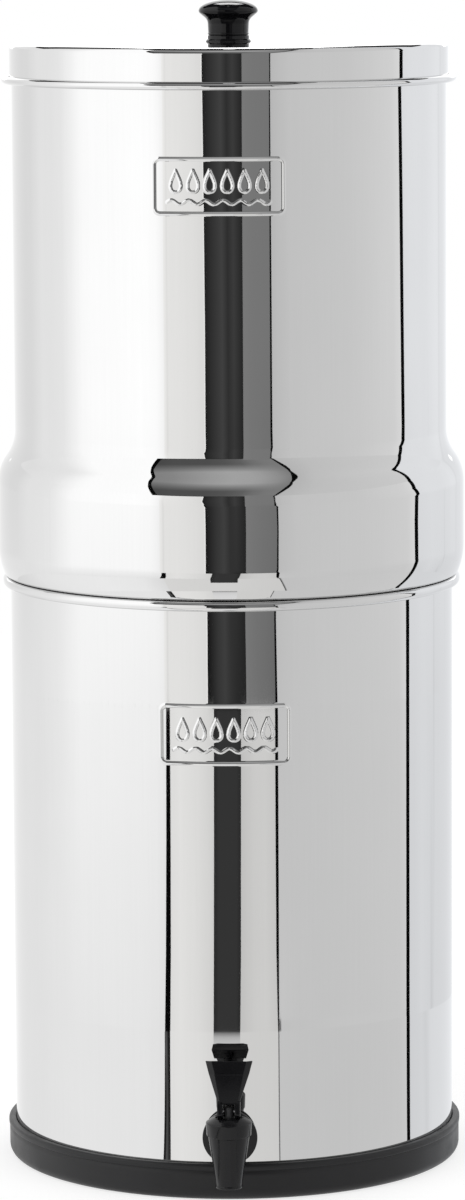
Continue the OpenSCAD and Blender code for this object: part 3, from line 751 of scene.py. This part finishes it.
def plunger():
    foot, top = SEAT_Z + 2, high("tap_stem").z
    rod = rounded([
        (0, foot), (ROD_R + 1.4, foot), (ROD_R + 1.4, foot + 2.4), (ROD_R, foot + 2.4),
        (ROD_R, top - 2.1), (ROD_R - 0.35, top - 0.9), (ROD_R - 1.3, top - 0.15), (0, top)], 0.4)
    piece("plunger_rod", moved(turned(rod), AT_SPOUT), "plunger", "black_plastic", "tap_stem",
          look="plunger_plastic")
    cup = rounded([
        (0, SEAT_Z), (CUP_R - 0.6, SEAT_Z), (CUP_R, SEAT_Z + 0.8), (CUP_R, SEAT_Z + 3),
        (CUP_R - 1.2, SEAT_Z + 5), (CUP_R - 1.2, SEAT_Z + 9), (ROD_R + 0.1, SEAT_Z + 9),
        (ROD_R + 0.1, foot + 2.6), (ROD_R + 1.5, foot + 2.6), (ROD_R + 1.5, foot), (0, foot)], 0.4)
    piece("seat_cup", moved(turned(cup), AT_SPOUT), "plunger", "silicone", "tap_seat_cup")


def spring():
    wire, coils, sides, per_turn = 0.6, 6.4, 10, 28
    bottom, top = low("tap_spring").z, high("tap_spring").z
    radius = (high("tap_spring").x - low("tap_spring").x) / 2 - wire
    rise = top - bottom - 2 * wire
    steps = int(coils * per_turn)
    rings = []
    for i in range(steps + 1):
        a = 2 * pi * coils * i / steps
        share = min(1, max(0, (coils * i / steps - 0.8) / (coils - 1.6)))
        ring = []
        for s in range(sides):
            b = 2 * pi * s / sides
            r = radius + wire * cos(b)
            z = bottom + wire + rise * share + wire * sin(b)
            ring.append((r * cos(a), r * sin(a) + SPOUT_Y, z))
        rings.append(ring)
    obj = piece("return_spring", skinned(rings), "lower", "spring_steel", "tap_spring", sharp=60)
    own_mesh(obj)


def lever():
    """The lever's outlines are (distance in front of the pin, height above it)."""
    rise = high("tap_handle").z - PIN_Z
    head_w, fork_w, slot, rib_w = 29.2, 14.3, 7.2, 10.5
    cam_r, cam_out, slot_up, face_low = 3.4, 4.2, 5.3, 7.2
    back = SPOUT_Y - high("tap_handle").y  # how far behind the pin the head reaches, negative
    head_front = back + 9.5
    slant, head_h = 2.3, 5.7
    under = rise - slant - head_h
    chin = head_front + 1.6
    plate = 3.2
    waist = 0.86 * head_w / 2  # half the width under the head
    flank, flank_low, flank_back = 3.6, 1.6, 2.4
    # Half width, width of the flank beside the face, front, front height, back, back height
    levels = [
        (head_w / 2, flank, head_front, rise, back, rise - slant),
        (waist, flank, chin, under, back + 0.9, under),
        (waist, flank, chin, under, chin - plate, under),
        (fork_w / 2, flank_low, cam_out, face_low, -6.4, face_low),
        (fork_w / 2, flank_low, cam_out + 1.2, slot_up, -5.2, slot_up),
    ]
    rings = []
    for half, width, front, front_h, rear, rear_h in levels:
        side = front - width * flank_back / flank
        rings.append([(x, SPOUT_Y - f, PIN_Z + h) for x, f, h in (
            (-half, rear, rear_h), (-half, side, front_h), (width - half, front, front_h),
            (half - width, front, front_h), (half, side, front_h), (half, rear, rear_h))])
    blade = skinned(rings)
    bmesh.ops.remove_doubles(blade, verts=blade.verts, dist=0.01)
    softened(blade, 0.55, 20, 3)

    def arc(centre, start, end):
        return [(centre + cam_r * cos(radians(a)), cam_r * sin(radians(a)))
                for a in range(start, end + 1, 12)]
    cheek = (arc(0, 180, 270) + arc(cam_out, 270, 354)
             + [(cam_out + 2.2, 2.6), (cam_out + 1.2, slot_up), (cam_out, face_low),
                (-6, face_low), (-5.2, slot_up)])
    rib = [(back + 1.5, under + 1), (head_front, under + 1), (-cam_r, slot_up),
           (-cam_r - 4.5, slot_up + 2), (back + 3, under - 5)]
    # An outline's x runs forward and its y up, so it is stood up across the lever
    across = Matrix(((0, 0, 1, 0), (-1, 0, 0, SPOUT_Y), (0, 1, 0, PIN_Z), (0, 0, 0, 1)))
    parts = [blade]
    for outline, start, end in ((cheek, slot / 2, fork_w / 2), (cheek, -fork_w / 2, -slot / 2),
                                (rib, -rib_w / 2, rib_w / 2)):
        parts.append(moved(softened(extruded(outline, start, end), 0.35, 30), across))
    piece("lever", joined(*parts), "lever", "black_plastic", "tap_handle")


# ---- filters ----

def at_hole(i):
    """Where hole i of the upper chamber's floor is."""
    a = pi * i / FILTERS
    return Matrix.Rotation(a, 4, "Z") @ Matrix.Translation((HOLE_CIRCLE_R, 0, 0))


def filter_set(number):
    place = at_hole(2 * number - 1)
    crown = 5
    element = (
        [(ELEMENT_CORE_R, ELEMENT_Z), (ELEMENT_R - 0.4, ELEMENT_Z), (ELEMENT_R, ELEMENT_Z + 0.4)]
        + plain(rungs(ELEMENT_R, ELEMENT_Z + 0.4, ELEMENT_TOP - crown, 12))
        + plain(bend(ELEMENT_R - crown, ELEMENT_TOP - crown, crown, 0, 90))
        + [(0, ELEMENT_TOP), (0, ELEMENT_TOP - 16), (ELEMENT_CORE_R, ELEMENT_TOP - 19)])
    piece(f"carbon_block_{number}", moved(turned(element), place), "upper", "carbon_block",
          f"filter_element_{number}")
    rim = CAP_Z + CAP_H
    cap = (
        [(STEM_BORE_R, STEM_Z), (STEM_R - 0.8, STEM_Z)]
        + thread_rows(STEM_R, STEM_Z + 0.8, CAP_Z - 0.2, STEM_PITCH)
        + [(STEM_R, CAP_Z), (CAP_R - 0.8, CAP_Z), (CAP_R - 0.01, CAP_Z + 0.8),
           (CAP_R - 0.01, rim - 0.5), (CAP_R - 0.5, rim), (CAP_R - CAP_WALL + 0.4, rim),
           (CAP_R - CAP_WALL, rim - 0.4), (CAP_R - CAP_WALL, CAP_Z + CAP_FLOOR),
           (STEM_BORE_R, CAP_Z + CAP_FLOOR)])
    thread = threaded(STEM_R, STEM_PITCH, 0.55)

    def shape(radii, z, azimuths):
        if abs(radii[0] - CAP_R + 0.01) < 1e-3:  # grip ribs
            return radii - 0.5 * (0.5 + 0.5 * np.cos(48 * azimuths)) ** 2
        return thread(radii, z, azimuths)
    piece(f"cap_{number}", moved(turned(cap, around(384), shape), place),
          "upper", "cap_plastic", f"filter_base_{number}")


def wing_nuts():
    hub_r, root, thick = 8.5, 6, 3.2
    wing_r = NUT_H / 2 + 1
    centre = NUT_SPAN / 2 - wing_r
    bottom = PLUG_Z - NUT_H
    hub = rounded([(STEM_R + 0.1, bottom), (hub_r - 0.4, bottom), (hub_r, PLUG_Z - 1.5),
                   (hub_r, PLUG_Z), (STEM_R + 0.1, PLUG_Z)], 0.6)
    tip = [(centre + wing_r * cos(a), wing_r - 2 + wing_r * sin(a))
           for a in np.radians(np.arange(-28, 29, 8))]
    ear = ([(root, 0), (centre, 0), (centre + wing_r * 0.72, 0.6)] + tip
           + [(centre + 2.5, NUT_H - 0.3), (centre - 1.5, NUT_H - 0.4), (root, NUT_H - 2.2)])
    parts = []
    for number in range(1, FILTERS + 1):
        place = at_hole(2 * number - 1) @ spin(25 * number)
        parts.append(moved(turned(hub), place))
        for side in (-1, 1):
            # The ear's outline lies in the plane through the hub's axis
            stand = Matrix(((side, 0, 0, 0), (0, 0, 1, 0), (0, 1, 0, bottom), (0, 0, 0, 1)))
            blade = softened(extruded(ear, -thick / 2, thick / 2), 0.7, 30, 3)
            parts.append(moved(blade, place @ stand))
    piece("wing_nut_set", joined(*parts), "upper", "white_plastic", "wing_nuts")


def plugs():
    head_r, nose_r, thick = 11, 7.5, 3
    outline = rounded([
        (0, PLUG_Z - thick), (nose_r, PLUG_Z - thick), (STEM_R + 0.4, PLUG_Z), (STEM_R + 0.4, FLOOR_Z),
        (head_r, FLOOR_Z), (head_r - 1.5, FLOOR_Z + thick), (0, FLOOR_Z + thick)], 0.5)
    parts = [moved(turned(outline), at_hole(2 * i)) for i in range(FILTERS)]
    piece("plug_set", joined(*parts), "upper", "silicone", "hole_plugs")


# ---- studio ----

CAMERA_AZIMUTH = 1.1  # degrees
CAMERA_REACH = 3.380  # from the axis
CAMERA_HEIGHT = 0.8125
CAMERA_PITCH = 7.64  # degrees below the horizon
CAMERA_YAW = -0.011  # degrees off the axis
CAMERA_ROLL = -0.317
CAMERA_LENS = 159.2
MIRROR_R = 0.140  # radius of the wall that mirrors the cards
FAR = 2.36  # from the wall to the tall cards
NEAR = 0.05  # from the wall to the near end of a table board
EDGE = 0.486  # from the wall to the table's front edge


def linear(tone):
    """Linear light of a display grey."""
    return tone / 12.92 if tone <= 0.04045 else ((tone + 0.055) / 1.055) ** 2.4


def ray(azimuth, reach):
    """The point that the wall mirrors to the camera at an azimuth, so far from the wall."""
    seen = radians(azimuth - CAMERA_AZIMUTH)
    facing = seen / 2
    for _ in range(4):
        facing = (seen - MIRROR_R / CAMERA_REACH * sin(facing)) / 2
    facing += radians(CAMERA_AZIMUTH)
    heading = radians(azimuth)
    return (MIRROR_R * sin(facing) + reach * sin(heading),
            -MIRROR_R * cos(facing) - reach * cos(heading))


def ramp(tree, place, stops, tint=(1, 1, 1)):
    """A colour ramp over a place. Stops are (place, linear light)."""
    node = add(tree, "ValToRGB", {"Fac": place})
    elements = node.color_ramp.elements
    while len(elements) < len(stops):
        elements.new(0.5)
    for element, (where, light) in zip(elements, stops):
        element.position = where
        element.color = (*(light * share for share in tint), 1)
    return node.outputs["Color"]


def glow(name, across, up, rise, tint):
    """A material that shines as much as the steel needs to show these greys."""
    material, tree = new_material(name)
    tree.nodes.clear()
    place = add(tree, "SeparateXYZ", {0: add(tree, "TexCoord").outputs["UV"]})
    foot, top = (ramp(tree, place.outputs["X"],
                      [(stop[0], linear(stop[k]) / STEEL_TONE) for stop in across], tint) for k in (1, 2))
    height = add(tree, "MapRange", {
        "Value": place.outputs["Y"], "From Min": rise[0], "From Max": rise[1]})
    sideways = add(tree, "Mix", {"Factor": height.outputs["Result"], "A": foot, "B": top},
                   data_type="RGBA")
    upward = ramp(tree, place.outputs["Y"], [(p, linear(g)) for p, g in up])
    light = add(tree, "Mix", {"Factor": 1.0, "A": sideways.outputs["Result"], "B": upward},
                data_type="RGBA", blend_type="MULTIPLY")
    shine = add(tree, "Emission", {"Color": light.outputs["Result"]})
    add(tree, "OutputMaterial", {"Surface": shine.outputs[0]})
    return material


COOL = (0.985, 1.0, 1.025)
WARM = (1.006, 1.0, 0.985)


def card(name, rows, across, up=((0, 1), (1, 1)), rise=(0, 1), tint=(1, 1, 1)):
    """A card round the filter that only gloss sees, in metres and degrees.

    rows run up the card: (reach, height, shift of the left edge, shift of the right edge). across runs
    from side to side: (azimuth, display grey at the foot, display grey at the top), or one grey for
    both. The foot's greys turn into the top's over rise, two shares of the height. up lists
    (share of the height, grey) and darkens the card.
    """
    left, right = across[0][0], across[-1][0]
    stops = [((stop[0] - left) / (right - left), stop[1], stop[-1]) for stop in across]
    count = max(2, ceil((right - left) / 4))
    whole = sum(dist(one[:2], two[:2]) for one, two in zip(rows, rows[1:]))
    verts, faces, spots = [], [], []
    climbed = 0.0
    for k, (reach, height, *shifts) in enumerate(rows):
        shift_left, shift_right = shifts or (0, 0)
        if k:
            climbed += dist(rows[k - 1][:2], (reach, height))
        for i in range(count + 1):
            share = i / count
            azimuth = (left + shift_left) * (1 - share) + (right + shift_right) * share
            verts.append((*ray(azimuth, reach), height))
            spots.append((share, climbed / whole))
            if k and i:
                corner = len(verts) - 1
                below = corner - count - 1
                faces.append((below - 1, below, corner, corner - 1))
    mesh = bpy.data.meshes.new(name)
    mesh.from_pydata(verts, [], faces)
    layer = mesh.uv_layers.new(name="place")
    for loop in mesh.loops:
        layer.data[loop.index].uv = spots[loop.vertex_index]
    mesh.materials.append(glow(name, stops, up, rise, tint))
    stage_piece(name, mesh)


def upright(heights, left=None, right=None, reach=FAR):
    """Rows of an upright card, with the shifts of its left and right edges at each height."""
    still = [0] * len(heights)
    return list(zip([reach] * len(heights), heights, left or still, right or still))


def stage_piece(name, mesh, only_gloss=True):
    obj = placed(name, mesh)
    if only_gloss:
        obj.visible_camera = obj.visible_diffuse = obj.visible_shadow = False
    else:
        obj.visible_glossy = False


# The cards stand round the filter. These are the heights of their edges and bends, in metres.
UNDER_Z = -1.9
LOW_Z = -0.42
MID_Z = -0.053
TOP_Z = 1.19
LINTEL_Z = 2.16
CROWN_Z = 2.8
HIGH_Z = 6.4
AROUND = 184.5  # the cards overlap behind the filter
LINE_A = (-35.1, -32.2)  # azimuths of the dark gaps between cards
LINE_B = (24.1, 24.7)
LINE_C = (103.9, 106.7)
STRIP = (-12.0, 7.7)  # the dark strip in front
LOW_STRIP = (-9.4, 4.3)

# How far the edges of the cards bend at these heights, in degrees
LOW = (LOW_Z, -0.32, -0.2, MID_Z)
LOW_A_LEFT = (0, 0.9, 1.5, 1.9)
LOW_A_RIGHT = (0, 0.7, 1.0, 1.1)
LOW_B_LEFT = (0, -0.8, -0.95, -0.95)
LOW_STRIP_LEFT = (0, 0.4, 0.8, 1.2)
LOW_STRIP_RIGHT = (0, 0.7, 1.0, 1.4)
MIDDLE = (MID_Z, 0.04, 0.14, 0.24, 0.36, 0.5, 0.62, TOP_Z)
STRIP_LEFT = (0.7, 0.7, 0.8, 0, 0, -0.3, -0.8, -0.4)
STRIP_RIGHT = (0.8, 0.4, 0.6, 0.1, 0.1, 0.1, 0.1, 0.1)
B_LEFT = (-0.7, -1.2, -0.6, -2.1, -2.1, -2.1, -2.1, -2.1)
B_RIGHT = (-0.2, -0.8, -0.5, -1.6, -1.7, -1.9, -2.1, -1.8)
C_BEND = (0, 0, -0.7, 0.5, -0.4, -1.3, -2.4, -1.4)


def low_cards():
    """Under the tall cards, as seen past the table's edge."""
    card("low_left", upright(LOW, right=LOW_A_LEFT), [
        (-AROUND, 0.83), (-157, 0.834), (-147, 0.842), (-138, 0.851), (-131, 0.861), (-119, 0.872),
        (-109, 0.883, 0.89), (-100, 0.888, 0.905), (-92, 0.893, 0.928), (-85, 0.896, 0.945),
        (-65, 0.898, 0.942), (-47, 0.892, 0.935), (-41, 0.885, 0.93), (LINE_A[0], 0.87, 0.91)])
    card("low_front_left", upright(LOW, LOW_A_RIGHT, LOW_STRIP_LEFT), [
        (LINE_A[1], 0.86), (-27, 0.878), (-17, 0.85), (LOW_STRIP[0], 0.81)], tint=WARM)
    card("low_front_right", upright(LOW, LOW_STRIP_RIGHT, LOW_B_LEFT), [
        (LOW_STRIP[1], 0.75), (8, 0.77), (12, 0.79), (18, 0.795), (LINE_B[0], 0.77)], tint=WARM)
    card("low_right", upright(LOW), [
        (LINE_B[1], 0.77, 0.75), (34, 0.76), (60, 0.762, 0.77), (98, 0.775, 0.785),
        (LINE_C[0], 0.79, 0.81)])
    card("low_back_right", upright(LOW), [
        (LINE_C[1], 0.81, 0.825), (112, 0.815, 0.828), (118, 0.828, 0.838), (123, 0.818, 0.832),
        (127, 0.81, 0.825), (129, 0.77, 0.825), (131.2, 0.8, 0.82), (132.2, 0.81, 0.78),
        (133.2, 0.81, 0.82), (145, 0.8, 0.808), (155, 0.795), (AROUND, 0.775)], tint=COOL)
    card("low_strip", upright((-0.7, *LOW), (0, *LOW_STRIP_LEFT), (0, *LOW_STRIP_RIGHT), FAR - 0.02), [
        (LOW_STRIP[0], 0.15), (-7, 0.2), (2, 0.2), (LOW_STRIP[1], 0.16)])


def under_cards():
    """The floor sweep, which only the upper chamber's underside mirrors."""
    under = upright((UNDER_Z, LOW_Z))
    card("under_left", under, [
        (-AROUND, 0.78), (-149, 0.785), (-130, 0.84), (-115, 0.88), (-97, 0.9), (-68, 0.915),
        (-45, 0.9), (-33, 0.85)])
    card("under_front", under, [(-33, 0.83), (0, 0.81), (40, 0.78)], tint=WARM)
    card("under_right", upright((UNDER_Z, LOW_Z + 0.03), (0, -9.3), reach=FAR - 0.02), [
        (34, 0.3), (34.5, 0.35), (35, 0.75), (60, 0.765), (LINE_C[0], 0.78)])
    card("under_back_right", under, [(LINE_C[1], 0.82), (140, 0.81), (AROUND, 0.79)], tint=COOL)


def middle_cards():
    """What the walls mirror above the table."""
    card("middle_left", upright(MIDDLE), [
        (-AROUND, 0.83, 0.82), (-157, 0.834, 0.82), (-138, 0.851, 0.82), (-130, 0.862, 0.831),
        (-118, 0.873, 0.877), (-108, 0.892, 0.881), (-99, 0.91, 0.893), (-91, 0.935, 0.935),
        (-84, 0.95, 0.975), (-77, 0.948, 0.987), (-64, 0.947, 0.988), (-47, 0.94, 0.995),
        (-38.5, 0.935, 0.985), (-36, 0.93, 0.967), (-34, 0.92, 0.945)], rise=(0, 0.24))
    card("middle_front_left", upright(MIDDLE, right=STRIP_LEFT), [
        (-34, 0.91, 0.94), (-32.8, 0.885, 0.905), (-32.2, 0.84, 0.9), (-31.5, 0.88, 0.9),
        (-26, 0.88, 0.89), (-17, 0.865, 0.87), (STRIP[0] - 0.7, 0.85), (STRIP[0], 0.94)], tint=WARM)
    card("middle_strip", upright(MIDDLE, STRIP_LEFT, STRIP_RIGHT), [
        (STRIP[0], 0.06, 0.12), (-9.5, 0.14, 0.17), (-6.4, 0.21), (-3, 0.24, 0.25), (0, 0.2, 0.18),
        (3, 0.165, 0.23), (STRIP[1], 0.14)], rise=(0, 0.3))
    card("middle_grey", upright((*MIDDLE[:-1], TOP_Z + 0.12), STRIP_RIGHT, B_LEFT), [
        (STRIP[1], 0.465, 0.47), (14, 0.44, 0.46), (LINE_B[0], 0.405, 0.455)], rise=(0, 0.3))
    card("middle_right", upright(MIDDLE, B_RIGHT, C_BEND), [
        (LINE_B[1], 0.74, 0.715), (28, 0.75, 0.732), (35, 0.76, 0.755), (50, 0.77, 0.764),
        (67, 0.775, 0.772), (81, 0.78, 0.79), (90, 0.785, 0.803), (98, 0.79, 0.812),
        (LINE_C[0], 0.83, 0.84)], rise=(0, 0.3))
    card("middle_back_right", upright(MIDDLE, left=C_BEND), [
        (LINE_C[1], 0.828, 0.855), (112, 0.828, 0.865), (119, 0.838, 0.865), (128, 0.828, 0.86),
        (131.2, 0.82, 0.86), (132.2, 0.77, 0.86), (133.2, 0.815, 0.862), (142, 0.81, 0.862),
        (147, 0.805, 0.85), (149, 0.8, 0.815), (151, 0.8, 0.83), (156, 0.795, 0.818),
        (AROUND, 0.775, 0.815)], rise=(0, 0.3), tint=COOL)


def high_cards():
    """What the shoulder, the lid's edges and the knob mirror: bright sides, a dark room in front and
    another behind, with a window."""
    card("high_left", upright((TOP_Z, CROWN_Z, HIGH_Z), right=(-4.5, -16, -41)), [
        (-AROUND, 0.86), (-131, 0.85), (-117, 0.875), (-104, 0.885), (-97, 0.9), (-90, 0.93),
        (-82, 0.967), (-75, 0.985), (-34, 0.99)])
    card("high_right", upright((TOP_Z, LINTEL_Z, HIGH_Z), (0, 9.7, 52), (0, 7.2, 9)), [
        (LINE_B[1] - 1.1, 0.7), (40, 0.74), (LINE_C[0] - 1.4, 0.79)])
    card("high_back_right", upright((TOP_Z, LINTEL_Z, HIGH_Z), left=(0, 7.2, 9)), [
        (LINE_C[1] - 1.4, 0.86), (130, 0.865), (150, 0.83), (AROUND, 0.826)], tint=COOL)
    card("high_front", upright((TOP_Z + 0.06, CROWN_Z, HIGH_Z), (0, -11, -33), (0, 13, 41), FAR + 0.1), [
        (-36, 0.28, 0.5), (-28, 0.3, 0.52), (-12, 0.3, 0.6), (-3, 0.325, 0.63), (5, 0.37, 0.62),
        (9, 0.42, 0.6), (16, 0.46, 0.55), (LINE_B[0] - 1.6, 0.47, 0.48)], rise=(0.13, 0.42))
    # Behind the filter: name, azimuth where it starts, foot, top, grey, how far in front of the cards
    behind = (("high_back", 156, 0.75, 2.2, 0.995, 0.05), ("back_dark", 127, 1.95, HIGH_Z, 0.12, 0.04),
              ("window", 168, 2.6, 4.2, 1.9, 0.05))
    for side in (-1, 1):
        for name, start, foot, top, grey, ahead in behind:
            ends = sorted((side * start, side * AROUND))
            card(f"{name}_{side}", upright((foot, top), reach=FAR - ahead), [(end, grey) for end in ends])
    card("ceiling", [(FAR + 0.1, HIGH_Z), (0.002, HIGH_Z)], [(-180, 0.25), (180, 0.25)])


def dark_room():
    """The black behind the gaps between the cards."""
    card("room", upright((UNDER_Z, HIGH_Z), reach=FAR + 0.2), [(-AROUND, 0.03), (AROUND, 0.03)])


def table():
    """The table top, as gloss sees it."""
    def board(left=0, right=0, height=MM):
        return [(NEAR, height, left, right), (EDGE, height, 0, 0)]
    card("table_left", board(right=-1.7), [
        (-AROUND, 0.83), (-147, 0.842), (-131, 0.861), (-109, 0.883), (-85, 0.896), (-47, 0.892),
        (LINE_A[0], 0.875)])
    card("table_front_left", board(right=0.3), [
        (LINE_A[1], 0.87), (-27, 0.878), (-17, 0.86), (LOW_STRIP[0], 0.83)], tint=WARM)
    card("table_front", board(), [(LOW_STRIP[0], 1), (LOW_STRIP[1], 1)],
         [(0, 0.84), (0.7, 0.83), (0.88, 0.8), (0.96, 0.68), (1, 0.4)])
    card("table_front_right", board(right=0.3), [(LOW_STRIP[1], 0.8), (LINE_B[0], 0.795)], tint=WARM)
    card("table_right", board(0.3), [
        (LINE_B[1], 0.76), (60, 0.757), (98, 0.77), (LINE_C[0], 0.785)])
    card("table_back_right", board(), [
        (LINE_C[1], 0.81), (118, 0.82), (122, 0.8), (128, 0.835), (136, 0.83), (AROUND, 0.8)], tint=COOL)
    middle = (LINE_A[0] + LINE_A[1]) / 2 - 0.5
    card("table_gaps", board(height=MM / 2), [
        (-AROUND, 0.1), (middle - 1.1, 0.1), (middle, 0.4), (middle + 0.9, 0.1), (0, 0.1), (20, 0.4),
        (30, 0.4), (60, 0.03), (AROUND, 0.03)])


def camera():
    data = bpy.data.cameras.new("camera")
    data.sensor_fit = "VERTICAL"
    data.sensor_height = 36
    data.lens = CAMERA_LENS
    obj = placed("camera", data)
    turn = radians(CAMERA_AZIMUTH)
    place = (CAMERA_REACH * sin(turn), -CAMERA_REACH * cos(turn), CAMERA_HEIGHT)
    obj.matrix_world = (
        Matrix.Translation(place) @ Matrix.Rotation(turn + radians(CAMERA_YAW), 4, "Z")
        @ spin(90 - CAMERA_PITCH, "X") @ spin(CAMERA_ROLL))
    bpy.context.scene.camera = obj


def lamp(name, azimuth, height, reach, size, power):
    """A soft area lamp aimed at the middle of the filter. The steel mirrors the cards in its place."""
    data = bpy.data.lights.new(name, "AREA")
    data.size = size
    data.energy = power
    obj = placed(name, data)
    a = radians(azimuth)
    obj.location = (reach * sin(a), -reach * cos(a), height)
    aim = Vector((0, 0, 0.35)) - obj.location
    obj.rotation_euler = aim.to_track_quat("-Z", "Y").to_euler()
    obj.visible_glossy = False


def seen_white(tree):
    """1 for the rays that show the background: those of the camera, of gloss and through glass."""
    path = add(tree, "LightPath")
    either = add(tree, "Math", {0: path.outputs["Is Camera Ray"], 1: path.outputs["Is Glossy Ray"]},
                 operation="MAXIMUM")
    whole = add(tree, "Math", {0: either.outputs[0], 1: path.outputs["Is Transmission Ray"]},
                operation="MAXIMUM")
    return whole.outputs[0]


def world():
    scene_world = bpy.data.worlds.new("world")
    bpy.context.scene.world = scene_world
    scene_world.use_nodes = True
    tree = scene_world.node_tree
    light = tree.nodes["Background"]
    light.inputs["Color"].default_value = (1, 1, 1, 1)
    ambient = 0.6
    strength = add(tree, "MapRange", {"Value": seen_white(tree), "To Min": ambient, "To Max": 1.0})
    tree.links.new(strength.outputs[0], light.inputs["Strength"])


def floor():
    """A white table top. Its shadow stays, and the rest of it shows as white."""
    half, back = 1.6, 2.4
    front = -(MIRROR_R + EDGE + 0.2)
    mesh = bpy.data.meshes.new("floor")
    mesh.from_pydata([(-half, front, 0), (half, front, 0), (half, back, 0), (-half, back, 0)], [],
                     [(0, 1, 2, 3)])
    material, tree = new_material("floor")
    shader = tree.nodes["Principled BSDF"]
    shader.inputs["Base Color"].default_value = (0.4, 0.4, 0.4, 1)
    shader.inputs["Roughness"].default_value = 0.9
    shader.inputs["Specular IOR Level"].default_value = 0.0
    shader.inputs["Emission Color"].default_value = (1, 1, 1, 1)
    share = add(tree, "MapRange", {"Value": seen_white(tree), "To Min": 0.2, "To Max": 0.72})
    tree.links.new(share.outputs[0], shader.inputs["Emission Strength"])
    mesh.materials.append(material)
    stage_piece("floor", mesh, only_gloss=False)


# ---- the model ----

bpy.context.scene.view_settings.view_transform = "Standard"
camera()
world()
floor()
under_cards()
low_cards()
middle_cards()
high_cards()
dark_room()
table()
lamp("key", -55, 2.4, 2.2, 1.4, 16)
lamp("fill", 60, 1.8, 2.4, 1.4, 9)
lamp("back", 165, 2.2, 2.2, 1.2, 8)

base_ring()
lower_shell()
upper_shell()
lid()
knob()
tap_body()
tap_bonnet()
tap_nut()
plunger()
spring()
lever()
for number in range(1, FILTERS + 1):
    filter_set(number)
wing_nuts()
plugs()
carried("gasket_blue", *(f"filter_gasket_{i}" for i in range(1, FILTERS + 1)))
carried("tap_rubber", "tap_washer_outer", "tap_washer_inner")
carried("steel_fastener", "tap_handle_pin", "knob_washer", "knob_screw")
carried("brass", "knob_insert")
